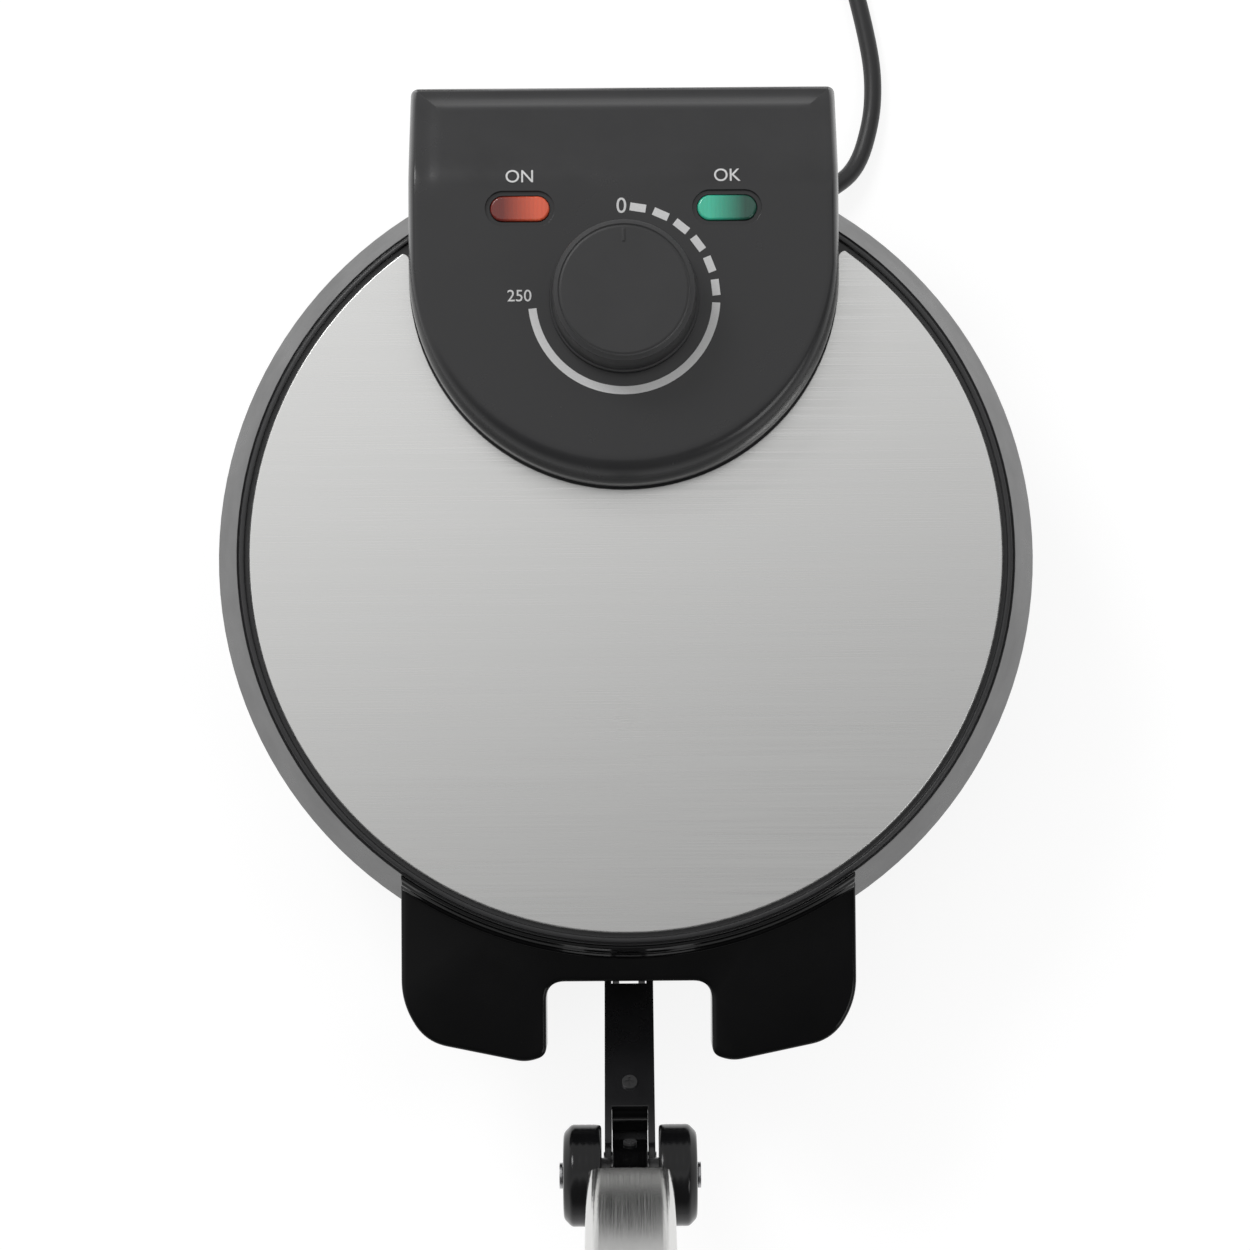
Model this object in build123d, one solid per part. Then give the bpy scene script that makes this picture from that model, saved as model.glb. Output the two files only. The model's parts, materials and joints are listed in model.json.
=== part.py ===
"""Chapati maker: round base and hinged lid with 10 inch plates, a control pod and a folding two-roller press.

Millimetres. +Y is the rear, +X the right-hand side, Z = 0 the table, and the plates' axis is X = 0, Y = 0.
"""
from build123d import *
from math import atan2, cos, degrees, hypot, pi, radians, sin, sqrt, tan
import os

os.makedirs("parts", exist_ok=True)

# Driving sizes: plates and housings
lid_radius = 142.7
plate_radius = lid_radius - 15.7
plate_thickness = 9.0
base_radius = lid_radius - 4.7
base_foot_radius = base_radius - 12.0
wall = 2.6
foot_height = 5.2
pan_thickness = 1.8
foot_radius = 11.0
foot_circle_radius = base_foot_radius - 28.0
base_height = 60.0
plate_gap = 1.3
lid_bottom = 64.0
lid_wall_top = 72.0
lid_top = 95.0
cover_radius = lid_radius - 13.2
cover_thickness = 1.7
slope_radius = lid_radius - 9.1
slope_height = 94.0

# Running clearances and seats
pin_clearance = 0.06
side_clearance = 0.5
seat = 0.05

# Rear hinge
hinge_y = base_radius + 10.0
hinge_z = 60.0
barrel_radius = 11.0
tower_half_width = 45.0
tower_back = hinge_y + 8.5
hinge_pin_radius = 3.0
hinge_pin_length = 20.0
arm_thickness = 2.6

# Control pod
pod_half_width = 73.0
pod_nose_y = 23.2
pod_back = lid_radius + 18.8
pod_bottom = 73.0
pod_top = 117.0
pod_bevel_width = 6.5
pod_bevel_height = 11.0
pod_crease_y = pod_back - 37.7
pod_back_top = 101.0
pod_corner_radius = 3.0
pod_gap = 0.8

# Dial, lamps and knob
dial_y = 85.1
knob_base_radius = 25.2
knob_top_radius = 23.5
knob_height = 20.0
knob_lift = 0.6
knob_bore_depth = 14.0
shaft_radius = 3.0
lamp_x = 34.9
lamp_y = 115.7
lens_length = 20.0
lens_width = 8.5
recess_length = 23.4
recess_width = 11.9
recess_depth = 1.2

# Front collar
collar_half_width = 78.5
collar_top = 85.0
collar_back_y = -(lid_radius - 35.7)
notch_half_width = 28.6
notch_back_y = -(lid_radius + 4.0)
notch_fillet = 6.5
collar_corner_y = -(lid_radius + 9.3)
lug_corner = (70.7, -(lid_radius + 20.6))
lug_tip = (35.3, -(lid_radius + 31.6))
collar_edge = 1.6

# Press: post, lever and rollers
post_pivot_y = -(lid_radius + 6.3)
post_pivot_z = 22.0
post_length = 77.2
post_rest_lean = 52.0
post_press_lean = 6.5
post_half_width = 8.8
post_wall = 2.4
post_web_face = 6.5
post_open_face = -7.0
post_web_end = 60.0
post_end_radius = 7.0
press_pin_radius = 2.5
roller_reach = 15.0
roller_rest_lean = 13.0
roller_radius = 17.3
roller_length = 13.0
roller_inner = 9.9
roller_gap = 0.3
axle_radius = 3.0
tongue_half_width = 6.1
handle_rest_lean = 36.0
handle_length = 122.0
handle_root_width = 29.2
handle_wide = 31.0
handle_thickness = 13.0

# Mains lead
cord_diameter = 6.6
coil_radius = 36.5
coil_pitch = 7.4
coil_turns = 4.23
coil_rise = 7.4

lid_seat = lid_top - cover_thickness
base_floor = foot_height + pan_thickness
upper_plate_bottom = base_height + 1.0 + plate_gap
lower_plate_top = base_height + 1.0
lower_plate_bottom = lower_plate_top - plate_thickness
upper_plate_top = upper_plate_bottom + plate_thickness
deck_bottom = lid_seat - wall


# Shape helpers
def turned(points):
    """Solid of revolution about Z from (radius, height) points."""
    outline = Polyline(*[(r, 0, z) for r, z in points], close=True)
    return revolve(make_face(outline), Axis.Z)


def block(x0, x1, y0, y1, z0, z1):
    return Pos((x0 + x1) / 2, (y0 + y1) / 2, (z0 + z1) / 2) * Box(x1 - x0, y1 - y0, abs(z1 - z0))


def rod(start, end, radius):
    a, b = Vector(*start), Vector(*end)
    return Solid.make_cylinder(radius, (b - a).length, Plane(origin=a, z_dir=b - a))


def across(outline, x0, x1):
    """A (Y, Z) outline, a list of points or a finished face, as a plate from x0 to x1."""
    face = make_face(Polyline(*outline, close=True)) if isinstance(outline, list) else outline
    return extrude(Plane.YZ.offset(x0) * face, x1 - x0)


def cross_rod(y, z, x0, x1, radius):
    return rod((x0, y, z), (x1, y, z), radius)


def both_sides(piece):
    return [piece, mirror(piece, Plane.YZ)]


def ring_places(radius, angles):
    return [(radius * cos(radians(a)), radius * sin(radians(a))) for a in angles]


def pan_screw(x, y, z, head_radius, shank_radius, shank_length, up=True):
    """Pan-head screw: the head's seat at z, the shank runs down, or up if the screw is upside down."""
    way = 1 if up else -1
    head = rod((x, y, z), (x, y, z + way * 2.0), head_radius)
    shank = rod((x, y, z), (x, y, z - way * shank_length), shank_radius)
    screw = head + shank
    for long_x, long_y in ((head_radius * 0.6, 0.4), (0.4, head_radius * 0.6)):
        screw -= block(x - long_x, x + long_x, y - long_y, y + long_y, z + way * 1.2, z + way * 2.5)
    return screw


nodes = {}


# Base housing
base_outer = [
    (base_foot_radius, base_floor), (base_foot_radius + 7.2, base_floor + 6.0),
    (base_radius, base_height - 8.0), (base_radius, base_height - 2.0),
    (base_radius - 1.5, base_height), (plate_radius + 2.2, base_height),
]
base_inner = [
    (plate_radius + 2.2, base_height), (plate_radius + 2.2, base_height - 2.5),
    (base_radius - wall, base_height - 2.7), (base_radius - wall, base_height - 7.9),
    (base_foot_radius + 7.2 - wall, base_floor + 7.2), (base_foot_radius - 0.8, base_floor + wall),
    (base_foot_radius - 8.0, base_floor + wall), (base_foot_radius - 8.0, base_floor),
]
base_room = turned([(0, base_floor)] + base_inner[::-1] + [(0, base_height)])

tower_front = base_radius - 10.0
tower_side = [
    (tower_front, base_floor), (tower_back - 4.0, base_floor), (tower_back, base_floor + 4.0),
    (tower_back, hinge_z), (hinge_y, hinge_z + barrel_radius - 1.0), (hinge_y - barrel_radius, hinge_z),
    (tower_front, base_height),
]
tower = across(tower_side, -tower_half_width, tower_half_width)
tower += cross_rod(hinge_y, hinge_z, -tower_half_width, tower_half_width, barrel_radius)
tower_room = block(-tower_half_width + wall, tower_half_width - wall, base_radius - 4.0, tower_back - wall,
                   base_floor + wall, hinge_z - barrel_radius - wall)

bracket_pad_y = -(base_radius - 2.0)
bracket_pad_half = 24.0
bracket_z = (10.0, 36.0)
bracket_pad = block(-bracket_pad_half, bracket_pad_half, bracket_pad_y, bracket_pad_y + 8.0, *bracket_z)

cord_exit = Vector(53.0, 127.0, 15.0)
cord_exit_turn = 29.0
cord_way = Vector(cos(radians(cord_exit_turn)), sin(radians(cord_exit_turn)), 0)
gland_block = Pos(*cord_exit) * Rot(0, 0, cord_exit_turn) * Pos(-9.0, 0, 0) * Box(18.0, 17.0, 15.0)
gland_bore = rod(cord_exit - cord_way * 30.0, cord_exit + cord_way, 4.2)

base_shell = turned(base_outer + base_inner[1:]) + (tower + bracket_pad + gland_block - base_room)
base_shell -= tower_room
base_shell -= block(-38.0, 38.0, base_foot_radius - 2.0, base_radius, base_floor + 8.0, base_floor + 36.0)
base_shell -= gland_bore
pin_hole_depth = hinge_pin_length - arm_thickness - side_clearance
for side in (-1, 1):
    base_shell -= cross_rod(hinge_y, hinge_z, side * (tower_half_width - pin_hole_depth),
                            side * (tower_half_width + 1.0), hinge_pin_radius + pin_clearance)
nodes["base_shell"] = base_shell

pan_radius = base_foot_radius - 2.0
foot_places = ring_places(foot_circle_radius, (45, 135, 225, 315))
screw_places = ring_places(pan_radius - 3.0, (0, 60, 120, 180, 240, 300))
rib_top = base_floor + 1.2
pan_rib = [(30.0, base_floor), (30.0, rib_top), (40.0, rib_top), (40.0, base_floor)]
bottom_pan = turned([(0, foot_height), (pan_radius, foot_height), (pan_radius, base_floor), (0, base_floor)])
bottom_pan += turned(pan_rib)
for x, y in screw_places:
    bottom_pan -= rod((x, y, foot_height - 1), (x, y, foot_height + 3), 1.9)
nodes["base_bottom_pan"] = bottom_pan

nodes["rubber_feet"] = [
    chamfer((rod((x, y, 0), (x, y, foot_height), foot_radius)).edges().group_by(Axis.Z)[0], 1.0)
    for x, y in foot_places
]
base_screw_holes = [rod((x, y, base_floor - 1), (x, y, base_floor + wall + 1), 1.5) for x, y in screw_places]
for hole in base_screw_holes:
    base_shell -= hole
nodes["base_shell"] = base_shell
nodes["base_screws"] = [pan_screw(x, y, foot_height, 3.6, 1.45, 4.2, up=False) for x, y in screw_places]


# Cooking plates: cast discs with a raised rim bead and a shallow back recess
def cooking_plate(face_z, back_z):
    way = 1 if face_z > back_z else -1
    rim = [
        (0, face_z), (plate_radius - 3.0, face_z), (plate_radius, face_z - way * 2.0), (plate_radius, back_z),
        (plate_radius - 6.0, back_z), (plate_radius - 8.0, back_z + way * 3.0), (0, back_z + way * 3.0),
    ]
    return turned(rim)


element_radius = 3.2
element_circle = 84.0
element_gap_angle = 24.0


def heating_element(z, way):
    """Open ring of sheathed tube with two terminals turned away from the plate."""
    spread = radians(element_gap_angle / 2)
    start = Vector(element_circle * sin(spread), element_circle * cos(spread), z)
    far = Vector(0, -element_circle, z)
    end = Vector(-start.X, start.Y, z)
    path = Edge.make_three_point_arc(start, far, end)
    tube = sweep(Plane(origin=start, z_dir=path.tangent_at(0)) * Circle(element_radius), path)
    ends = []
    for place in (start, end):
        side = 1 if place.X > 0 else -1
        foot = place + Vector(-side * 4.0, 0, 0)
        ends.append(Pos(*place) * Sphere(element_radius))
        ends.append(rod(place, (foot.X, foot.Y, z + way * 7.0), 2.0))
    for piece in ends:
        tube += piece
    return tube


plate_back_lower = lower_plate_bottom + 3.0
plate_back_upper = upper_plate_top - 3.0
lower_element_z = plate_back_lower - element_radius - seat
upper_element_z = plate_back_upper + element_radius + seat
nodes["lower_plate"] = cooking_plate(lower_plate_top, lower_plate_bottom)
nodes["upper_plate"] = cooking_plate(upper_plate_bottom, upper_plate_top)
nodes["lower_heating_element"] = heating_element(lower_element_z, -1)
nodes["upper_heating_element"] = heating_element(upper_element_z, 1)

# Pillars screw into the backs of the plates, and the reflectors sit on them
pillar_radius = 4.5
pillar_places = ring_places(50.0, (90, 210, 330))
reflector_radius = 112.0
reflector_thickness = 1.0
lower_reflector_z = lower_element_z - element_radius - seat - reflector_thickness
upper_reflector_z = upper_element_z + element_radius + seat


def reflector(z, way):
    """Dished sheet with its rim turned towards the plate."""
    rim_z = z + (reflector_thickness if way > 0 else 0)
    top = z + reflector_thickness
    dish = turned([(0, z), (reflector_radius, z), (reflector_radius, top), (0, top)])
    dish += turned([(reflector_radius - 1.0, rim_z), (reflector_radius, rim_z),
                    (reflector_radius, rim_z + way * 4.0), (reflector_radius - 1.0, rim_z + way * 4.0)])
    for x, y in pillar_places:
        dish -= rod((x, y, z - 1), (x, y, z + 3), pillar_radius + 0.1)
    spread = radians(element_gap_angle / 2)
    hole_x = element_circle * sin(spread) - 4.0
    for side in (-1, 1):
        dish -= rod((side * (hole_x + 2), element_circle * cos(spread), z - 1),
                    (side * (hole_x + 2), element_circle * cos(spread), z + 3), 4.4)
    return dish


nodes["lower_heat_reflector"] = reflector(lower_reflector_z, 1)
nodes["upper_heat_reflector"] = reflector(upper_reflector_z, -1)
lower_pillars, upper_pillars = [], []
for x, y in pillar_places:
    lower_pillars.append(rod((x, y, base_floor), (x, y, plate_back_lower), pillar_radius))
    upper_pillars.append(rod((x, y, plate_back_upper), (x, y, deck_bottom), pillar_radius))
nodes["lower_plate_screws"] = lower_pillars
nodes["upper_plate_screws"] = upper_pillars

# Electrics in the base
terminal_y = 62.0
terminal = block(-14, 14, terminal_y - 7, terminal_y + 7, base_floor, base_floor + 13)
for x in (-8.0, 0.0, 8.0):
    terminal -= rod((x, terminal_y - 8, base_floor + 6), (x, terminal_y + 8, base_floor + 6), 2.0)
    terminal -= rod((x, terminal_y, base_floor + 9), (x, terminal_y, base_floor + 14), 1.8)
nodes["terminal_block"] = terminal
fuse_y = -62.0
nodes["thermal_fuse"] = (
    rod((-12, fuse_y, lower_reflector_z - 3.0), (12, fuse_y, lower_reflector_z - 3.0), 3.0)
    + block(-4, 4, fuse_y - 5, fuse_y + 5, lower_reflector_z - 1.4, lower_reflector_z)
    + rod((-20, fuse_y, lower_reflector_z - 3.0), (20, fuse_y, lower_reflector_z - 3.0), 1.0)
)
spread = radians(element_gap_angle / 2)
post_tip = (element_circle * sin(spread) - 4.0, element_circle * cos(spread))


def wire(points, bend=6.0, radius=1.5):
    line = FilletPolyline(*points, radius=bend)
    return sweep(Plane(origin=line @ 0, z_dir=line % 0) * Circle(radius), line)


tip_drop = 8.2
lower_tip_z = lower_element_z - tip_drop
base_wires = []
for side in (-1, 1):
    base_wires.append(wire([
        (side * post_tip[0], post_tip[1], lower_tip_z), (side * post_tip[0], post_tip[1], base_floor + 22.0),
        (side * 8.0, terminal_y + 18.0, base_floor + 6.0), (side * 8.0, terminal_y + 7.2, base_floor + 6.0),
    ], 4.0))
sheath_end = cord_exit - cord_way * 50.0
sheathed = rod(cord_exit - cord_way * 13.6, sheath_end, cord_diameter / 2)
cores = wire([
    tuple(sheath_end), tuple(sheath_end - cord_way * 6.0), (0, terminal_y + 16.0, base_floor + 7.0),
    (0, terminal_y + 7.2, base_floor + 6.0),
], 4.0)
base_wires.append(sheathed + cores)
nodes["base_wiring"] = base_wires

clamp_place = cord_exit - cord_way * 44.0
clamp = Pos(clamp_place.X, clamp_place.Y, base_floor + 9.5) * Rot(0, 0, cord_exit_turn) * Box(8.0, 16.0, 19.0)
clamp -= rod(clamp_place - cord_way * 10.0, clamp_place + cord_way * 10.0, cord_diameter / 2 + seat)
nodes["cord_clamp"] = clamp - block(-200, 200, -200, 200, base_floor - 10, base_floor)


# Lid housing: sloping wall, ridge and dark gap round the steel cover, deck under the cover
ridge_radius = cover_radius + 1.5
lid_outer = [
    (lid_radius - 1.0, lid_bottom), (lid_radius, lid_bottom + 3.0), (lid_radius, lid_wall_top),
    (slope_radius, slope_height), (slope_radius - 0.6, slope_height - 0.6), (slope_radius - 1.0, lid_top - 0.3),
    (slope_radius - 1.5, lid_top), (ridge_radius + 0.3, lid_top), (ridge_radius, lid_top - 0.4),
    (ridge_radius, lid_seat), (0, lid_seat),
]
lid_inner = [
    (0, deck_bottom), (slope_radius - 1.8, deck_bottom), (lid_radius - wall, lid_wall_top - 0.6),
    (lid_radius - wall, lid_bottom + 3.0), (lid_radius - wall - 0.6, lid_bottom),
]
lid_body = turned(lid_outer + [(0, lid_bottom)])
lid_shell = turned(lid_outer + lid_inner)

pod_nose_centre_y = pod_nose_y + pod_half_width


def pod_outline(grow=0.0, back=pod_back):
    """Face of the pod's plan: straight sides, half-round nose, small rear corners."""
    half = pod_half_width + grow
    end = back + grow
    shape = Polyline((-half, pod_nose_centre_y), (-half, end), (half, end), (half, pod_nose_centre_y))
    nose_arc = ThreePointArc((half, pod_nose_centre_y), (0, pod_nose_centre_y - half), (-half, pod_nose_centre_y))
    return make_face(shape.edges() + nose_arc.edges())


def prism(face, z0, z1):
    return extrude(Pos(0, 0, z0) * face, z1 - z0)


# The ridge ring stops at the pod, which stands on the deck, and the wall opens round the hinge tower
pod_footprint = prism(pod_outline(seat), lid_seat, lid_top + 5)
lid_shell -= pod_footprint
tower_gap = 1.4
slot_half_width = tower_half_width + tower_gap
tower_slot = block(-slot_half_width, slot_half_width, base_foot_radius + 4.0, lid_radius + 5,
                   lid_bottom - 1, hinge_z + barrel_radius + 2.4)
lid_shell -= tower_slot
wire_hole_places = [(-24.0, 100.0), (24.0, 100.0)]
for x, y in wire_hole_places:
    lid_shell -= rod((x, y, deck_bottom - 1), (x, y, lid_seat + 1), 5.0)
nodes["lid_shell"] = lid_shell

cover = turned([(0, lid_seat), (cover_radius, lid_seat), (cover_radius, lid_top - 0.6), (cover_radius - 0.6, lid_top),
                (0, lid_top)])
cover -= prism(pod_outline(pod_gap), lid_seat - 1, lid_top + 1)
tip_edges = cover.edges().filter_by(Axis.Z)
cover = fillet(tip_edges, 2.4) if len(tip_edges) else cover
nodes["lid_steel_cover"] = cover


# Front collar: plan outline with two lugs and a notch, cut to the lid's wall and slope
def collar_outline():
    right = [
        (collar_half_width, collar_back_y), (collar_half_width, collar_corner_y), lug_corner, lug_tip,
        (notch_half_width, lug_tip[1] + 2.0), (notch_half_width, notch_back_y),
    ]
    left = [(-x, y) for x, y in right[::-1]]
    face = make_face(Polyline(*(right + left), close=True))
    corners = face.vertices()

    def near(point):
        return [v for v in corners if hypot(abs(v.X) - point[0], v.Y - point[1]) < 0.01]

    face = fillet(near((notch_half_width, notch_back_y)), notch_fillet)
    for point, radius in (((collar_half_width, collar_corner_y), 9.0), (lug_corner, 8.0), (lug_tip, 3.0),
                          ((notch_half_width, lug_tip[1] + 2.0), 3.0)):
        corners = face.vertices()
        face = fillet(near(point), radius)
    return face


collar_bottom = lid_bottom + 1.0
collar = prism(collar_outline(), collar_bottom, collar_top)
collar = chamfer([e for e in collar.edges().group_by(Axis.Z)[-1]], collar_edge)
collar -= turned([(0, lid_bottom), (lid_radius + seat, lid_bottom), (lid_radius + seat, lid_wall_top),
                  (slope_radius + seat, slope_height), (0, slope_height)])
collar_screw_y = collar_corner_y + 6.0
collar_screw_places = [(-52.0, collar_screw_y), (52.0, collar_screw_y)]
lug_hollow = prism(offset(collar_outline(), -wall, kind=Kind.INTERSECTION), collar_bottom - 1, collar_top - wall)
lug_hollow -= turned([(0, 0), (lid_radius + wall, 0), (lid_radius + wall, 200), (0, 200)])
for x, y in collar_screw_places:
    lug_hollow -= rod((x, y, 0), (x, y, 200), 5.0)
collar -= lug_hollow
for x, y in collar_screw_places:
    collar -= rod((x, y, collar_bottom - 1), (x, y, collar_bottom + 12), 1.6)
nodes["front_collar"] = collar
nodes["collar_screws"] = [
    pan_screw(x, y, collar_bottom, 3.4, 1.55, 10.0, up=False) for x, y in collar_screw_places
]


# Control pod: hollow cover with a bevelled flat face and a rear that falls away
def pod_cutter(drop):
    """Everything above the pod's face, its sloping rear and its bevel, lowered by drop."""
    top, back_top = pod_top - drop, pod_back_top - drop
    profile = [(pod_nose_y - 30, top), (pod_crease_y, top), (pod_crease_y + 7.0, top - 1.6),
               (pod_crease_y + 16.0, top - 5.4), (pod_back - 6.0, back_top + 3.4), (pod_back + 2.0, back_top - 3.0),
               (pod_back + 20, back_top - 3.0), (pod_back + 20, top + 60), (pod_nose_y - 30, top + 60)]
    return across(profile, -200, 200)


def bevelled(grow):
    """Prism whose top edge is drawn in all round by the bevel, for the sides and the nose."""
    back = pod_back + 30
    shoulder = pod_top - pod_bevel_height
    side = pod_outline(grow, back=back)
    rim = Pos(0, 0, pod_top - 1.0) * pod_outline(grow - pod_bevel_width + 0.6, back=back)
    peak = Pos(0, 0, pod_top + 2.0) * pod_outline(grow - pod_bevel_width - 3.0, back=back)
    low = prism(side, pod_bottom - 5, shoulder)
    top = loft([Pos(0, 0, shoulder) * side, rim], ruled=True)
    cap = loft([rim, peak], ruled=True)
    return low + top + cap


pod_outer = prism(pod_outline(), pod_bottom, pod_top + 10)
pod_outer = fillet(pod_outer.edges().filter_by(Axis.Z).sort_by(Axis.Y)[-2:], pod_corner_radius)
pod_outer = (pod_outer & bevelled(0.0)) - pod_cutter(0.0)
pod_hollow = prism(pod_outline(-wall), pod_bottom - 1, pod_top + 10)
pod_hollow = (pod_hollow & bevelled(-wall)) - pod_cutter(wall)
pod_stand = turned([(0, 0), (lid_radius + 1.0, 0), (lid_radius + 1.0, lid_wall_top + 0.2),
                    (slope_radius + 0.9, slope_height), (slope_radius + 0.9, lid_seat), (0, lid_seat)])
pod = pod_outer - pod_hollow - pod_stand
pod_boss_places = [(-50.0, 60.0), (50.0, 60.0), (-62.0, 100.0), (62.0, 100.0)]
for x, y in pod_boss_places:
    boss = rod((x, y, lid_seat), (x, y, pod_top - 1.0), 4.2)
    pod += (boss & pod_outer)
    pod -= rod((x, y, lid_seat - 1), (x, y, lid_seat + 9.0), 1.5)
pod -= rod((0, dial_y, pod_top - 20), (0, dial_y, pod_top + 5), shaft_radius + 0.8)


def stadium(x, y, length, width, z0, z1):
    return prism(Pos(x, y) * SlotOverall(length, width), z0, z1)


lens_depth = 5.0
for side in (-1, 1):
    pod -= stadium(side * lamp_x, lamp_y, recess_length, recess_width, pod_top - recess_depth, pod_top + 5)
    pod -= stadium(side * lamp_x, lamp_y, lens_length + 0.3, lens_width + 0.3, pod_top - 20, pod_top + 5)
nodes["control_pod"] = pod
for x, y in pod_boss_places:
    nodes["lid_shell"] -= rod((x, y, deck_bottom - 1), (x, y, lid_seat + 1), 1.9)
nodes["pod_screws"] = [
    pan_screw(x, y, deck_bottom, 3.4, 1.45, 9.0 + wall - 1, up=False) for x, y in pod_boss_places
]


def lamp_lens(x):
    """Stadium light pipe with a flange behind the face."""
    lens = stadium(x, lamp_y, lens_length, lens_width, pod_top - wall - recess_depth - 2.0, pod_top - 0.3)
    lens = fillet(lens.edges().group_by(Axis.Z)[-1], 0.8)
    return lens + stadium(x, lamp_y, lens_length + 3.0, lens_width + 3.0,
                          pod_top - wall - recess_depth - 2.0, pod_top - wall - recess_depth - 0.8)


nodes["power_lamp_lens"] = lamp_lens(-lamp_x)
nodes["ready_lamp_lens"] = lamp_lens(lamp_x)
bulb_top = pod_top - wall - recess_depth - 2.0 - seat
nodes["lamp_bulbs"] = [
    rod((side * lamp_x, lamp_y, bulb_top - 14.0), (side * lamp_x, lamp_y, bulb_top - 3.0), 3.0)
    + Pos(side * lamp_x, lamp_y, bulb_top - 3.0) * Sphere(3.0)
    for side in (-1, 1)
]

# Thermostat under the pod's face, its bracket stands on the deck
thermostat_top = pod_top - wall - 3.0
thermostat = block(-14, 14, dial_y - 16, dial_y + 16, thermostat_top - 11.0, thermostat_top)
thermostat += rod((0, dial_y, thermostat_top), (0, dial_y, thermostat_top + 2.4), 5.5)
thermostat -= rod((0, dial_y, thermostat_top - 6.0), (0, dial_y, thermostat_top + 5), shaft_radius + pin_clearance)
nodes["thermostat_body"] = thermostat
bracket_half = 21.0
bracket_sheet = 1.4
thermostat_bottom = thermostat_top - 11.0
thermostat_bracket = block(-bracket_half, bracket_half, dial_y - 9, dial_y + 9,
                           thermostat_bottom - bracket_sheet, thermostat_bottom)
for side in (-1, 1):
    inner, outer = sorted((side * bracket_half, side * (bracket_half - bracket_sheet)))
    thermostat_bracket += block(inner, outer, dial_y - 9, dial_y + 9, lid_seat, thermostat_bottom)
nodes["thermostat_bracket"] = thermostat_bracket

knob_base = pod_top + knob_lift
knob_top = knob_base + knob_height
groove_radius = 21.4
knob = turned([
    (0, knob_base), (knob_base_radius, knob_base), (knob_base_radius, knob_base + 2.0),
    (knob_base_radius - 0.7, knob_base + 2.6), (knob_top_radius, knob_top - 2.2),
    (knob_top_radius - 0.7, knob_top - 0.6), (knob_top_radius - 1.6, knob_top),
    (groove_radius + 0.4, knob_top), (groove_radius, knob_top - 0.5),
    (groove_radius - 0.5, knob_top - 0.3), (0, knob_top - 0.9),
])
knob = Pos(0, dial_y, 0) * knob
knob -= rod((0, dial_y, knob_base - 1), (0, dial_y, knob_base + knob_bore_depth), shaft_radius + seat)
knob -= Pos(0, dial_y, knob_base) * Pos(0, 0, 5.0) * (
    Cylinder(knob_base_radius - 3.5, 14.0) - Cylinder(7.0, 14.0))
knob -= block(-0.5, 0.5, dial_y + 13.0, dial_y + 17.5, knob_top - 1.6, knob_top + 1)
nodes["knob"] = knob
nodes["thermostat_shaft"] = rod((0, dial_y, thermostat_top - 5.5), (0, dial_y, knob_base + knob_bore_depth - 0.5),
                                shaft_radius)

lid_wires = []
for side, (x, y) in zip((-1, 1), wire_hole_places):
    lid_wires.append(wire([
        (side * post_tip[0], post_tip[1], upper_element_z + tip_drop), (side * post_tip[0], post_tip[1], 87.2),
        (x, y - 2.0, 88.5), (x, y, lid_seat + 9.0)], 2.5))
nodes["lid_wiring"] = lid_wires

# Hinge arms: steel plates beside the tower, on feet that sit on the deck
arm_x = tower_half_width + side_clearance
arm_foot_front = hinge_y - 40.0
arm_foot_back = hinge_y - 22.0
arm_profile = [
    (arm_foot_front, lid_seat), (hinge_y - 8.0, lid_seat), (hinge_y - 8.0, hinge_z), (hinge_y + 5.0, hinge_z),
    (hinge_y + 5.0, lid_seat), (hinge_y + 5.0, lid_seat + 4.5), (arm_foot_front, lid_seat + 8.5),
]
arm = across(arm_profile, arm_x, arm_x + arm_thickness)
arm += cross_rod(hinge_y, hinge_z, arm_x, arm_x + arm_thickness, 8.0)
arm -= lid_body
arm += block(arm_x, arm_x + 16.0, arm_foot_front, arm_foot_back, lid_seat, lid_seat + arm_thickness)
arm_screw = (arm_x + 10.0, (arm_foot_front + arm_foot_back) / 2)
arm -= rod((*arm_screw, lid_seat - 1), (*arm_screw, lid_seat + 5), 1.9)
arm -= cross_rod(hinge_y, hinge_z, arm_x - 1, arm_x + arm_thickness + 1, hinge_pin_radius + pin_clearance)
nodes["hinge_arms"] = both_sides(arm)
nodes["hinge_pins"] = both_sides(
    cross_rod(hinge_y, hinge_z, tower_half_width - pin_hole_depth + 0.1, arm_x + arm_thickness + 0.6, hinge_pin_radius))
arm_screw_piece = pan_screw(*arm_screw, lid_seat + arm_thickness, 3.4, 1.5, arm_thickness + wall)
nodes["hinge_arm_screws"] = both_sides(arm_screw_piece)
for side in (-1, 1):
    nodes["lid_shell"] -= rod((side * arm_screw[0], arm_screw[1], deck_bottom - 1),
                              (side * arm_screw[0], arm_screw[1], lid_seat + 1), 1.55)


# Press: places in the post's own frame (along the post, towards the lid) and the lever's own frame
def post_place(along, face, lean=post_rest_lean):
    a = radians(lean)
    return (post_pivot_y - along * sin(a) + face * cos(a), post_pivot_z + along * cos(a) + face * sin(a))


pin_y, pin_z = post_place(post_length, 0)


def lever_place(along, face):
    a = radians(roller_rest_lean)
    return (pin_y - along * sin(a) + face * cos(a), pin_z + along * cos(a) + face * sin(a))


roller_y, roller_z = lever_place(roller_reach, 0)
press_pin_y, press_pin_z = post_place(post_length, 0, post_press_lean)
roller_press_z = collar_top + roller_radius + roller_gap
press_direction = degrees(atan2(sqrt(roller_reach ** 2 - (roller_press_z - press_pin_z) ** 2),
                                roller_press_z - press_pin_z))
post_travel = post_rest_lean - post_press_lean
lever_travel = press_direction + post_press_lean - (post_rest_lean - roller_rest_lean)

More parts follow.
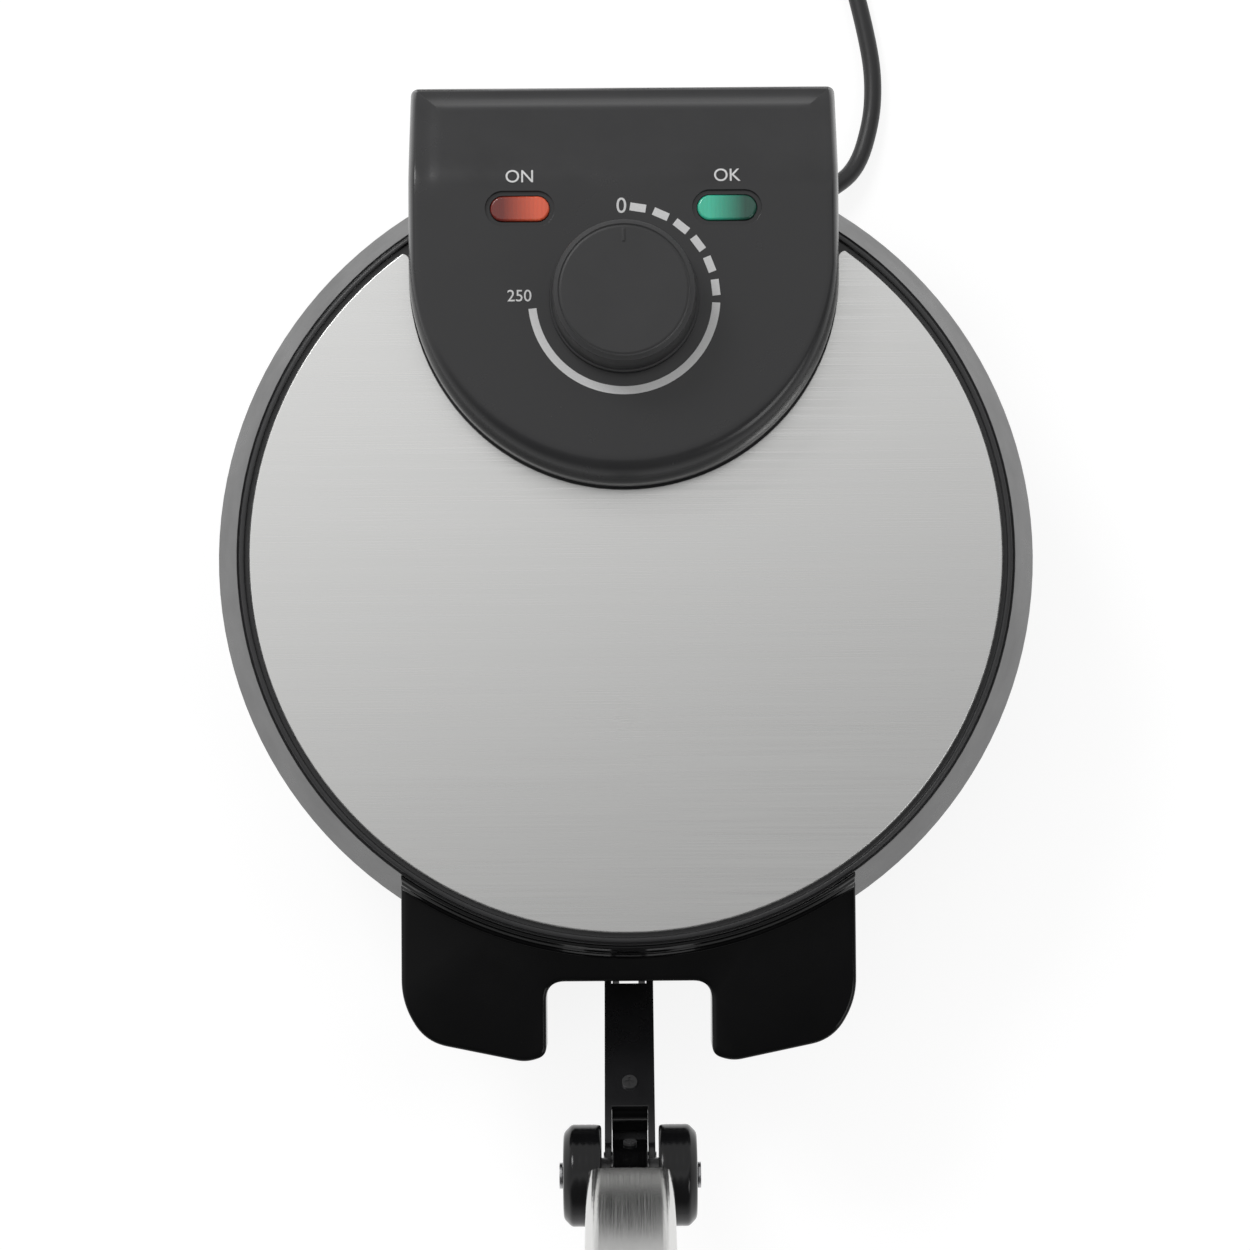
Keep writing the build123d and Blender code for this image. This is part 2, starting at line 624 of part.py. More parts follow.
bracket_plate = 2.5
bracket_ear_half = post_half_width - post_wall - side_clearance
bracket = block(-bracket_pad_half + 1, bracket_pad_half - 1, bracket_pad_y - bracket_plate, bracket_pad_y,
                bracket_z[0] + 1, bracket_z[1] - 1)
ear_radius = 5.0
ear_outline = [
    (bracket_pad_y - bracket_plate, post_pivot_z - ear_radius), (post_pivot_y, post_pivot_z - ear_radius),
    (post_pivot_y, post_pivot_z + 2.0), (bracket_pad_y - bracket_plate, post_pivot_z + 2.0),
]
ear_wall = 2.4
for side in (-1, 1):
    x0, x1 = sorted((side * bracket_ear_half, side * (bracket_ear_half - ear_wall)))
    bracket += across(ear_outline, x0, x1) + cross_rod(post_pivot_y, post_pivot_z, x0, x1, ear_radius)
    bracket -= cross_rod(post_pivot_y, post_pivot_z, x0 - 1, x1 + 1, press_pin_radius + pin_clearance)
bracket_screw_places = [(side * 17.0, z) for side in (-1, 1) for z in (bracket_z[0] + 7.0, bracket_z[1] - 7.0)]
for x, z in bracket_screw_places:
    bracket -= rod((x, bracket_pad_y + 1, z), (x, bracket_pad_y - 5, z), 2.1)
    nodes["base_shell"] -= rod((x, bracket_pad_y - 1, z), (x, bracket_pad_y + 5.5, z), 1.75)
nodes["post_bracket"] = bracket
nodes["bracket_screws"] = [
    rod((x, bracket_pad_y - bracket_plate, z), (x, bracket_pad_y - bracket_plate - 2.0, z), 3.6)
    + rod((x, bracket_pad_y - bracket_plate, z), (x, bracket_pad_y + 5.0, z), 1.7)
    for x, z in bracket_screw_places
]
nodes["post_pivot_pin"] = (
    cross_rod(post_pivot_y, post_pivot_z, -post_half_width - 0.4, post_half_width + 0.4, press_pin_radius))


def post_outline(start, end, low, high):
    return [post_place(start, low), post_place(end, low), post_place(end, high), post_place(start, high)]


post = across(post_outline(9.0, post_web_end, post_web_face - post_wall, post_web_face),
              -post_half_width, post_half_width)
for side in (-1, 1):
    x0, x1 = sorted((side * post_half_width, side * (post_half_width - post_wall)))
    ear = across(post_outline(0, post_length, post_open_face + 1.0, post_web_face), x0, x1)
    ear += across(post_outline(6.0, post_length, post_open_face, post_web_face), x0, x1)
    ear += cross_rod(post_pivot_y, post_pivot_z, x0, x1, post_web_face)
    ear += cross_rod(pin_y, pin_z, x0, x1, post_end_radius)
    ear -= across(post_outline(post_length, post_length + 12, post_open_face - 2, post_web_face + 2), x0 - 1, x1 + 1) \
        - cross_rod(pin_y, pin_z, x0 - 2, x1 + 2, post_end_radius)
    post += ear
    for y, z in ((post_pivot_y, post_pivot_z), (pin_y, pin_z)):
        post -= cross_rod(y, z, x0 - 1, x1 + 1, press_pin_radius + pin_clearance)
screw_along = 50.5
screw_head_height = 1.0
screw_seat = post_place(screw_along, post_web_face)
post -= rod((0, *post_place(screw_along, post_web_face + 2)), (0, *post_place(screw_along, 0)), 1.7)
nodes["press_post"] = post

stop_half = post_half_width - post_wall - 0.1
stop_face = post_web_face - post_wall - seat
stop = across(post_outline(screw_along - 9.0, screw_along + 13.0, stop_face - 8.0, stop_face), -stop_half, stop_half)
stop -= rod((0, *post_place(screw_along, 8)), (0, *post_place(screw_along, -3)), 1.55)
nodes["post_stop_block"] = stop
screw_head = post_place(screw_along, post_web_face + screw_head_height)
screw_tip = post_place(screw_along, -1.5)
post_screw = rod((0, *screw_seat), (0, *screw_head), 2.7) + rod((0, *screw_seat), (0, *screw_tip), 1.5)
cross_foot = post_web_face + screw_head_height - 0.5
for arm_a, arm_b in ((0.35, 1.7), (1.7, 0.35)):
    post_screw -= across(post_outline(screw_along - arm_a, screw_along + arm_a, cross_foot, post_web_face + 3),
                         -arm_b, arm_b)
nodes["post_screw"] = post_screw
nodes["lever_pin"] = cross_rod(pin_y, pin_z, -post_half_width - 0.4, post_half_width + 0.4, press_pin_radius)


def lever_outline(points):
    return [lever_place(*p) for p in points]


def around(along, face, lean, centre):
    """Point at (along, face) of a frame that leans by lean, with its origin at a (Y, Z) centre."""
    a = radians(lean)
    return (centre[0] - along * sin(a) + face * cos(a), centre[1] + along * cos(a) + face * sin(a))


root_along, root_face = 31.0, 4.4
root = lever_place(root_along, root_face)
tongue_half = tongue_half_width
tongue = across(lever_outline([
    (-5.5, -3.0), (-5.5, 4.5), (0, 7.2), (roller_reach - 3, 7.2), (roller_reach + 8, 7.0), (root_along - 2, 8.6),
    (root_along - 2, -2.2), (roller_reach, -6.5), (0, -6.5),
]), -tongue_half, tongue_half)
tongue += across([around(-3.0, -3.6, handle_rest_lean, root), around(26.0, -3.6, handle_rest_lean, root),
                  around(26.0, 3.6, handle_rest_lean, root), around(-3.0, 3.6, handle_rest_lean, root)],
                 -tongue_half, tongue_half)
for y, z, hole in ((pin_y, pin_z, press_pin_radius), (roller_y, roller_z, axle_radius)):
    tongue -= cross_rod(y, z, -20, 20, hole + pin_clearance)
tongue_screw_along = 4.2
tongue -= rod((0, *lever_place(tongue_screw_along, 12)), (0, *lever_place(tongue_screw_along, 3.2)), 1.6)
nodes["lever_tongue"] = tongue
nodes["tongue_screw"] = (
    rod((0, *lever_place(tongue_screw_along, 7.2)), (0, *lever_place(tongue_screw_along, 8.2)), 2.4)
    + rod((0, *lever_place(tongue_screw_along, 7.2)), (0, *lever_place(tongue_screw_along, 3.4)), 1.5))

# Press handle: rounded bar that widens and bows outward, with a socket for the tongue
handle_stations = [
    (0.0, 0.0, handle_root_width, handle_thickness), (22.0, -0.6, handle_root_width + 1.2, handle_thickness - 0.4),
    (60.0, -3.4, handle_wide, handle_thickness - 2.0), (100.0, -8.0, handle_wide - 0.6, handle_thickness - 3.0),
    (handle_length, -11.4, handle_wide - 4.0, handle_thickness - 5.0),
]
sections = []
for i, (along, bow, width, thickness) in enumerate(handle_stations):
    y, z = around(along, bow, handle_rest_lean, root)
    last = handle_stations[min(i + 1, len(handle_stations) - 1)]
    first = handle_stations[max(i - 1, 0)]
    slope = degrees(atan2(last[1] - first[1], last[0] - first[0]))
    a = radians(handle_rest_lean - slope)
    plane = Plane(origin=(0, y, z), x_dir=(1, 0, 0), z_dir=(0, -sin(a), cos(a)))
    sections.append(plane * RectangleRounded(width, thickness, min(thickness * 0.42, 4.6)))
handle = loft(sections)
socket = across([around(-4.0, -3.6 - seat, handle_rest_lean, root), around(26.3, -3.6 - seat, handle_rest_lean, root),
                 around(26.3, 3.6 + seat, handle_rest_lean, root), around(-4.0, 3.6 + seat, handle_rest_lean, root)],
                -tongue_half - seat, tongue_half + seat)
handle -= socket
handle -= cross_rod(roller_y, roller_z, -handle_wide, handle_wide, roller_radius + 0.8)
handle_screw_alongs = (9.0, 19.0)
for along in handle_screw_alongs:
    hole_start, hole_end = (around(along, face, handle_rest_lean, root) for face in (-12, 0))
    handle -= rod((0, *hole_start), (0, *hole_end), 1.8)
nodes["press_handle"] = handle - tongue
nodes["handle_screws"] = []
for along in handle_screw_alongs:
    tip = around(along, -3.65, handle_rest_lean, root)
    seat_place = around(along, -6.6, handle_rest_lean, root)
    head_place = around(along, -8.2, handle_rest_lean, root)
    sink_start = around(along, -14, handle_rest_lean, root)
    sink_end = around(along, -6.55, handle_rest_lean, root)
    shank = rod((0, *seat_place), (0, *tip), 1.7)
    nodes["handle_screws"].append(shank + rod((0, *seat_place), (0, *head_place), 3.0))
    nodes["press_handle"] -= rod((0, *sink_start), (0, *sink_end), 3.1)

# Rollers on their axle
axle_half = roller_inner + roller_length + 0.5
axle = cross_rod(roller_y, roller_z, -axle_half, axle_half, axle_radius)
for side in (-1, 1):
    axle += cross_rod(roller_y, roller_z, side * (axle_half - 0.1), side * (axle_half + 0.9), 4.4)
nodes["roller_axle"] = axle
roller_profile = [
    (0, 0), (roller_radius - 1.2, 0), (roller_radius, 1.2), (roller_radius, roller_length - 3.0),
    (roller_radius - 1.0, roller_length - 1.0), (roller_radius - 3.0, roller_length), (0, roller_length),
]
roller = turned(roller_profile)
roller -= rod((0, 0, -1), (0, 0, roller_length + 1), axle_radius + seat)
roller = Pos(roller_inner, roller_y, roller_z) * Rot(0, 90, 0) * roller
nodes["press_rollers"] = both_sides(roller)
washer = cross_rod(roller_y, roller_z, tongue_half_width + 0.3, roller_inner - seat, 6.0) \
    - cross_rod(roller_y, roller_z, 0, 20, axle_radius + seat)
nodes["roller_washers"] = both_sides(washer)


# Mains lead: relief, free run, coil put away behind, short tail and plug
relief_length = 15.0
cord_points = [
    (65.9, 134.1, 12.1), (78.3, 141.0, 9.2), (88.2, 149.9, 4.8), (93.4, 167.2, 3.6), (94.4, 180.5, 3.6),
    (93.3, 193.4, 3.6), (88.1, 216.8, 3.6), (80.5, 243.0, 3.6), (76.8, 266.7, 3.6),
]


def cord_radii(points):
    """Each corner's radius: as large as its two runs allow."""
    radii = []
    for a, b, c in zip(points, points[1:], points[2:]):
        run_in, run_out = Vector(*b) - Vector(*a), Vector(*c) - Vector(*b)
        half_turn = radians(run_in.get_angle(run_out) / 2)
        radii.append(0.45 * min(run_in.length, run_out.length) / tan(half_turn))
    return radii


def cord_tube(points, name):
    radii = cord_radii(points)
    line = FilletPolyline(*points, radius=radii)
    tube = sweep(Plane(origin=line @ 0, z_dir=line % 0) * Circle(cord_diameter / 2), line)
    print(name, "length", round(line.length, 1), "radii", [round(r) for r in radii],
          "volume ratio", round(tube.volume / (pi * cord_diameter ** 2 / 4 * line.length), 4))
    return tube


first_way = (Vector(*cord_points[1]) - cord_exit).normalized()
relief = Solid.make_cone(5.0, 4.2, relief_length, Plane(origin=cord_exit, z_dir=first_way))
for step in range(3):
    place = cord_exit + first_way * (4.0 + 4.0 * step)
    relief -= Solid.make_cylinder(6.5, 1.2, Plane(origin=place, z_dir=first_way)) - Solid.make_cylinder(
        3.9, 3.0, Plane(origin=place - first_way, z_dir=first_way))
behind = Plane(origin=cord_exit, x_dir=(0, 0, 1), z_dir=cord_way * -1) * Pos(0, 0, 10.0) * Box(40.0, 40.0, 20.0)
relief -= behind
relief += Solid.make_cylinder(4.0, 14.0, Plane(origin=cord_exit - cord_way * 13.5, z_dir=cord_way))
nodes["strain_relief"] = relief
nodes["power_cord"] = cord_tube([tuple(cord_exit + first_way * relief_length)] + cord_points[1:], "power_cord")

# The coil: two layers, spiralling in, climbing a layer in half a turn, and spiralling out again
entry = Vector(*cord_points[-1])
entry_way = (entry - Vector(*cord_points[-2])).normalized()
lead_in = cord_diameter
coil_start = entry + entry_way * lead_in
inner_turns = (coil_turns - 0.5) / 2
coil_start_radius = coil_radius + coil_pitch * inner_turns / 2
slope_in = atan2(coil_pitch / (2 * pi), coil_start_radius)
start_angle = atan2(entry_way.Y, entry_way.X) - pi / 2 - slope_in
coil_centre = coil_start - Vector(cos(start_angle), sin(start_angle), 0) * coil_start_radius


def coil_point(turn):
    """Centre line of the coil after so many turns: radius falls, turns back while it climbs, and grows."""
    rate = coil_pitch
    if turn <= inner_turns:
        radius, lift = coil_start_radius - rate * turn, 0.0
    elif turn <= inner_turns + 0.5:
        part = (turn - inner_turns) / 0.5
        radius = coil_start_radius - rate * inner_turns - rate * 0.5 * (part - part * part)
        lift = coil_rise * part * part * (3 - 2 * part)
    else:
        radius = coil_start_radius - rate * inner_turns + rate * (turn - inner_turns - 0.5)
        lift = coil_rise
    angle = start_angle + 2 * pi * turn
    return coil_centre + Vector(radius * cos(angle), radius * sin(angle), lift)


def coil_way(turn):
    step = 1e-4
    return (coil_point(turn + step) - coil_point(turn - step)).normalized()


def biarc(p, p_way, q, q_way):
    """Two arcs that join p to q and keep both directions."""
    chord = q - p
    both = p_way + q_way
    square = 2 * (1 - p_way.dot(q_way))
    side = chord.dot(both)
    reach = (-side + sqrt(side * side + square * chord.dot(chord))) / square if square > 1e-9 \
        else chord.dot(chord) / (4 * chord.dot(q_way))
    middle = (p + p_way * reach + q - q_way * reach) * 0.5
    first = Edge.make_tangent_arc(p, p_way, middle)
    second = Edge.make_tangent_arc(middle, first % 1, q)
    return [first, second]


span = 0.25
stations, turn = [0.0], 0.0
while turn < coil_turns - 1e-6:
    turn = min(turn + span, coil_turns)
    stations.append(turn)
stations = [s for s in stations if abs(s - coil_turns) > span / 3] + [coil_turns]
edges = [Edge.make_line(entry, coil_start)]
previous, previous_way = coil_start, entry_way
for turn in stations[1:]:
    place, way = coil_point(turn), coil_way(turn - 1e-4 if turn == coil_turns else turn)
    edges += biarc(previous, previous_way, place, way)
    previous, previous_way = place, way
coil_end = previous + previous_way * lead_in
edges.append(Edge.make_line(previous, coil_end))
coil_line = Wire(edges)
coil = sweep(Plane(origin=entry, z_dir=entry_way) * Circle(cord_diameter / 2), coil_line)
print("cord_coil length", round(coil_line.length, 1),
      "volume ratio", round(coil.volume / (pi * cord_diameter ** 2 / 4 * coil_line.length), 4))
samples = [(t * 0.01, coil_point(t * 0.01)) for t in range(int(coil_turns * 100) + 1)]
least = min((p - q).length for i, (s, p) in enumerate(samples) for t, q in samples[i:] if t - s > 0.5)
print("cord_coil least gap to itself", round(least - cord_diameter, 2))
nodes["cord_coil"] = coil

tail_points = [
    tuple(coil_end), tuple(coil_end + previous_way * 12.0), (-5.0, coil_end.Y - 2.0, 8.0),
    (-22.0, coil_end.Y - 7.6, 6.8), (-37.0, coil_end.Y - 13.4, 8.4), (-48.0, coil_end.Y - 17.4, 9.4),
]
nodes["cord_tail"] = cord_tube(tail_points, "cord_tail")
tie_angle = start_angle + pi * 1.2
tie_middle = coil_centre + Vector(coil_radius * cos(tie_angle), coil_radius * sin(tie_angle), 0)
tie_wide = coil_pitch * inner_turns + cord_diameter + 1.2
tie_tall = coil_rise + cord_diameter + 0.1
tie_wall = 0.25
tie = Box(4.0, tie_wide + 2.0, tie_tall + 2 * tie_wall) - Box(6.0, tie_wide, tie_tall)
tie_z = cord_points[-1][2] + coil_rise / 2
tie = Pos(tie_middle.X, tie_middle.Y, tie_z) * Rot(0, 0, degrees(tie_angle) + 90) * tie
nodes["cord_tie"] = tie

plug_way = (Vector(*tail_points[-1]) - Vector(*tail_points[-2]))
plug_turn = degrees(atan2(plug_way.Y, plug_way.X))
plug_place = Vector(*tail_points[-1])
plug_frame = Pos(*plug_place) * Rot(0, 0, plug_turn)
plug_flat = Plane(origin=plug_place, z_dir=plug_way)
sleeve_length = 14.0
plug_length, plug_width, plug_depth = 46.0, 50.0, 18.0
plug_body = Pos(sleeve_length + plug_length / 2, 0, plug_depth / 2 - plug_place.Z + 0.1) * Box(
    plug_length, plug_width, plug_depth)
plug_body = fillet(plug_body.edges().filter_by(Axis.Z), 8.0)
plug_body = fillet(plug_body.edges().group_by(Axis.Z)[-1] + plug_body.edges().group_by(Axis.Z)[0], 1.5)
plug_body = plug_frame * plug_body
sleeve = Solid.make_cone(4.4, 6.4, sleeve_length + 2.0, plug_flat)
plug_body = plug_body + sleeve
pin_top = plug_depth + 0.1
pins = []
pin_sizes = ((36.0, 0.0, 4.0, 8.0, 22.7), (14.0, 11.1, 6.4, 4.0, 17.7), (14.0, -11.1, 6.4, 4.0, 17.7))
for x, y, length, width, tall in pin_sizes:
    pins.append(Pos(plug_place.X, plug_place.Y, 0) * Rot(0, 0, plug_turn)
                * Pos(sleeve_length + x, y, pin_top + tall / 2) * Box(width, length, tall))
nodes["plug_body"] = plug_body
nodes["plug_pins"] = pins


# Writing
print("post_travel", round(post_travel, 3), "lever_travel", round(lever_travel, 3))
print("pin", round(pin_y, 4), round(pin_z, 4), "roller", round(roller_y, 4), round(roller_z, 4))
print("coil centre", coil_centre, "end", coil_end)
for name, piece in nodes.items():
    solids = piece if isinstance(piece, list) else [piece]
    export_step(Compound([s for p in solids for s in p.solids()]), f"parts/{name}.step")
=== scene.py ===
import json
from math import atan2, cos, pi, radians, sin

import bmesh
import bpy
from mathutils import Matrix, Vector


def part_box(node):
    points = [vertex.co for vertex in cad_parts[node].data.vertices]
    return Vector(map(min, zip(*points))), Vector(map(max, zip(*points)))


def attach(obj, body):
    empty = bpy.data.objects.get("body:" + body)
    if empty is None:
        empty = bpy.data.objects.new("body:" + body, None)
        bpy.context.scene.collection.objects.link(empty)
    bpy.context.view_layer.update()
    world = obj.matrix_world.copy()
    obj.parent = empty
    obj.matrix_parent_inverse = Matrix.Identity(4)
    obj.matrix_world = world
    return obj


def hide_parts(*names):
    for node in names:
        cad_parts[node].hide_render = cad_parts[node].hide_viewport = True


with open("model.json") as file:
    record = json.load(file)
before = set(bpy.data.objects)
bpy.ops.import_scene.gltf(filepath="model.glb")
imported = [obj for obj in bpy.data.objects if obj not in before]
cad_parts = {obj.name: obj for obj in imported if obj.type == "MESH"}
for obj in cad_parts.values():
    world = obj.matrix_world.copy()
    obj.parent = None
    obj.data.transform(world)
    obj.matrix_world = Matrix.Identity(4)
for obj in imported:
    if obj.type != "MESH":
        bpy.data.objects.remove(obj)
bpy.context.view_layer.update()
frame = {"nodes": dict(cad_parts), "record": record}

mm = 0.001
nodes = frame["nodes"]
scene = bpy.context.scene
scene.view_settings.view_transform = "Standard"
print("stage: frame loaded,", len(nodes), "nodes")

# Camera: almost straight above, a little in front of the plates' axis
cameraFacts = {"place": (-0.0007, -0.0555, 1.0947), "tilt": 1.8, "roll": -0.41, "lens": 84.1, "sensor": 36.0}
cameraData = bpy.data.cameras.new("camera")
cameraData.lens = cameraFacts["lens"]
cameraData.sensor_width = cameraFacts["sensor"]
camera = bpy.data.objects.new("camera", cameraData)
camera.location = cameraFacts["place"]
camera.rotation_euler = (radians(cameraFacts["tilt"]), 0, radians(cameraFacts["roll"]))
scene.collection.objects.link(camera)
scene.camera = camera


# Shader helpers
def addNode(tree, kind, inputs=None, **settings):
    made = tree.nodes.new(kind)
    for key, value in settings.items():
        setattr(made, key, value)
    for key, value in (inputs or {}).items():
        if isinstance(value, bpy.types.NodeSocket):
            tree.links.new(value, made.inputs[key])
        else:
            made.inputs[key].default_value = value
    return made


def newMaterial(name):
    material = bpy.data.materials.new(name)
    material.use_nodes = True
    tree = material.node_tree
    return material, tree, tree.nodes["Principled BSDF"]


def ramp(tree, factor, stops):
    made = addNode(tree, "ShaderNodeValToRGB", {"Fac": factor})
    points = made.color_ramp.elements
    points[0].position, points[1].position = stops[0][0], stops[-1][0]
    for place, _ in stops[1:-1]:
        points.new(place)
    for point, (_, level) in zip(points, stops):
        point.color = (*level, 1) if isinstance(level, tuple) else (level, level, level, 1)
    return made.outputs["Color"]


def mapRange(tree, value, low, high, toLow, toHigh):
    return addNode(tree, "ShaderNodeMapRange", {"Value": value, "From Min": low, "From Max": high,
                                                "To Min": toLow, "To Max": toHigh}).outputs["Result"]


def places(tree, stretch=(1, 1, 1)):
    coordinates = addNode(tree, "ShaderNodeTexCoord")
    return addNode(tree, "ShaderNodeMapping", {"Vector": coordinates.outputs["Object"], "Scale": stretch}).outputs[0]


def noise(tree, where, scale, detail=4.0, roughness=0.55):
    made = addNode(tree, "ShaderNodeTexNoise", {"Vector": where, "Scale": scale, "Detail": detail,
                                                "Roughness": roughness})
    return made.outputs["Fac"]


# The colour mix has its sockets by index, so it is linked here and not by name
def colourMix(tree, factor, first, second):
    made = tree.nodes.new("ShaderNodeMix")
    made.data_type = "RGBA"
    tree.links.new(factor, made.inputs[0])
    for socket, colour in ((made.inputs[6], first), (made.inputs[7], second)):
        if isinstance(colour, bpy.types.NodeSocket):
            tree.links.new(colour, socket)
        else:
            socket.default_value = (*colour, 1)
    return made.outputs[2]


# Moulded or painted surface: fine grain, patchy gloss, softly worn bright edges
def mouldedPlastic(name, colour, rough, grain=0.7, depth=0.02, specular=0.5, edge=0.5, smudge=0.05):
    material, tree, surface = newMaterial(name)
    where = places(tree)
    fine = noise(tree, where, 1 / (grain * mm))
    patches = noise(tree, where, 38.0, 6.0, 0.6)
    rounded = addNode(tree, "ShaderNodeBevel", {"Radius": edge * mm}, samples=6)
    bump = addNode(tree, "ShaderNodeBump", {"Height": fine, "Distance": depth * mm, "Strength": 0.6,
                                            "Normal": rounded.outputs["Normal"]})
    light = tuple(c * 1.25 + 0.002 for c in colour)
    dark = tuple(c * 0.85 for c in colour)
    tree.links.new(colourMix(tree, patches, dark, light), surface.inputs["Base Color"])
    tree.links.new(mapRange(tree, patches, 0.3, 0.7, rough - smudge, rough + smudge), surface.inputs["Roughness"])
    tree.links.new(bump.outputs["Normal"], surface.inputs["Normal"])
    surface.inputs["Specular IOR Level"].default_value = specular
    return material


# Metal with fine scratches along its long direction
def brushedMetal(name, colour, rough, stretch=(18, 1400, 1400), depth=0.004, spread=0.08, edge=0.3):
    material, tree, surface = newMaterial(name)
    lines = noise(tree, places(tree, stretch), 1.0, 5.0, 0.7)
    broad = noise(tree, places(tree, tuple(s / 9 for s in stretch)), 1.0, 3.0)
    rounded = addNode(tree, "ShaderNodeBevel", {"Radius": edge * mm}, samples=6)
    bump = addNode(tree, "ShaderNodeBump", {"Height": lines, "Distance": depth * mm, "Strength": 1.0,
                                            "Normal": rounded.outputs["Normal"]})
    light = tuple(min(c * (1 + spread), 1) for c in colour)
    dark = tuple(c * (1 - spread) for c in colour)
    both = addNode(tree, "ShaderNodeMath", {0: lines, 1: broad}, operation="ADD")
    halved = addNode(tree, "ShaderNodeMath", {0: both.outputs[0], 1: 0.5}, operation="MULTIPLY")
    tree.links.new(colourMix(tree, halved.outputs[0], dark, light), surface.inputs["Base Color"])
    tree.links.new(mapRange(tree, lines, 0.3, 0.7, rough - 0.06, rough + 0.06), surface.inputs["Roughness"])
    tree.links.new(bump.outputs["Normal"], surface.inputs["Normal"])
    surface.inputs["Metallic"].default_value = 1.0
    return material


# Tinted light pipe whose base colour is painted brighter on the side where its lamp sits: a painted lamp glow, as
# nothing in it emits light
def paintedGlowLens(name, dark, paintedGlowTint, way):
    material, tree, surface = newMaterial(name)
    split = addNode(tree, "ShaderNodeSeparateXYZ", {"Vector": places(tree)})
    centre = (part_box(name)[0].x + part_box(name)[1].x) / 2
    # painted glow: the colour ramps from the dark tint to the painted lit tint across the lens, towards its lamp
    paintedLampGlow = mapRange(tree, split.outputs["X"], centre - way * 6 * mm, centre + way * 6 * mm, 0.0, 1.0)
    ribs = addNode(tree, "ShaderNodeTexWave", {"Vector": places(tree), "Scale": 220.0, "Distortion": 0.4})
    bump = addNode(tree, "ShaderNodeBump", {"Height": ribs.outputs["Fac"], "Distance": 0.12 * mm, "Strength": 0.5})
    tree.links.new(colourMix(tree, paintedLampGlow, dark, paintedGlowTint), surface.inputs["Base Color"])
    tree.links.new(bump.outputs["Normal"], surface.inputs["Normal"])
    surface.inputs["Roughness"].default_value = 0.16
    surface.inputs["Coat Weight"].default_value = 0.5
    surface.inputs["Subsurface Weight"].default_value = 0.15
    surface.inputs["Subsurface Scale"].default_value = 2 * mm
    return material


looks = {
    "housing_black": mouldedPlastic("housingBlack", (0.022, 0.022, 0.023), 0.30, 0.6, 0.012),
    "gloss_black": mouldedPlastic("glossBlack", (0.002, 0.002, 0.0022), 0.10, 1.4, 0.004, specular=0.17, edge=0.6),
    "pod_black": mouldedPlastic("podBlack", (0.021, 0.021, 0.022), 0.24, 0.5, 0.012, edge=0.3),
    "brushed_cover": brushedMetal("brushedCover", (0.80, 0.80, 0.79), 0.30, (9, 2600, 2600), 0.0022, 0.035),
    "cast_plate": mouldedPlastic("castPlate", (0.05, 0.05, 0.052), 0.42, 0.8, 0.03),
    "sheet_steel": brushedMetal("sheetSteel", (0.55, 0.55, 0.55), 0.35),
    "pan_paint": mouldedPlastic("panPaint", (0.03, 0.03, 0.031), 0.45, 1.2, 0.02),
    "post_paint": mouldedPlastic("postPaint", (0.012, 0.012, 0.013), 0.25, 1.6, 0.02, edge=0.6),
    "screw_steel": brushedMetal("screwSteel", (0.42, 0.42, 0.43), 0.28, (300, 300, 900)),
    "black_screw": mouldedPlastic("blackScrew", (0.05, 0.05, 0.051), 0.25, 0.5, 0.02, edge=0.2),
    "element_tube": brushedMetal("elementTube", (0.42, 0.40, 0.38), 0.45, (200, 200, 200)),
    "foot_rubber": mouldedPlastic("footRubber", (0.035, 0.035, 0.036), 0.75, 0.4, 0.04),
    "roller_rubber": mouldedPlastic("rollerBlack", (0.004, 0.004, 0.0045), 0.17, 0.8, 0.01, specular=0.35, edge=0.6),
    "handle_metal": brushedMetal("handleNickel", (0.72, 0.72, 0.71), 0.17, (2200, 40, 40), 0.0006, 0.02),
    "knob_black": mouldedPlastic("knobBlack", (0.026, 0.026, 0.027), 0.45, 0.35, 0.03, edge=0.4),
    # The lamp lenses get a painted glow in their base colour, brighter on the lamp's side
    "red_lens": paintedGlowLens("power_lamp_lens", (0.16, 0.012, 0.006), (0.80, 0.12, 0.05), 1),
    "green_lens": paintedGlowLens("ready_lamp_lens", (0.004, 0.07, 0.045), (0.05, 0.55, 0.36), -1),
    "lamp_glass": mouldedPlastic("lampGlass", (0.9, 0.85, 0.8), 0.1, 1.0, 0.0),
    "ceramic_white": mouldedPlastic("ceramicWhite", (0.8, 0.79, 0.75), 0.4, 0.8, 0.03),
    "wire_sleeve": mouldedPlastic("wireSleeve", (0.7, 0.69, 0.65), 0.7, 0.6, 0.05),
    "cord_black": mouldedPlastic("cordBlack", (0.016, 0.016, 0.017), 0.42, 1.5, 0.03),
    "plug_black": mouldedPlastic("plugBlack", (0.022, 0.022, 0.023), 0.45, 0.6, 0.03),
    "brass_pins": brushedMetal("brassPins", (0.72, 0.55, 0.26), 0.25, (200, 900, 900)),
    "tie_white": mouldedPlastic("tieWhite", (0.8, 0.8, 0.79), 0.5, 0.8, 0.02),
    "fuse_body": mouldedPlastic("fuseBody", (0.45, 0.3, 0.16), 0.5, 0.8, 0.02),
}
for part in frame["record"]["subparts"]:
    mesh = nodes[part["node"]].data
    mesh.materials.clear()
    mesh.materials.append(looks[part["material_slot"]])
print("stage: materials on the CAD nodes")


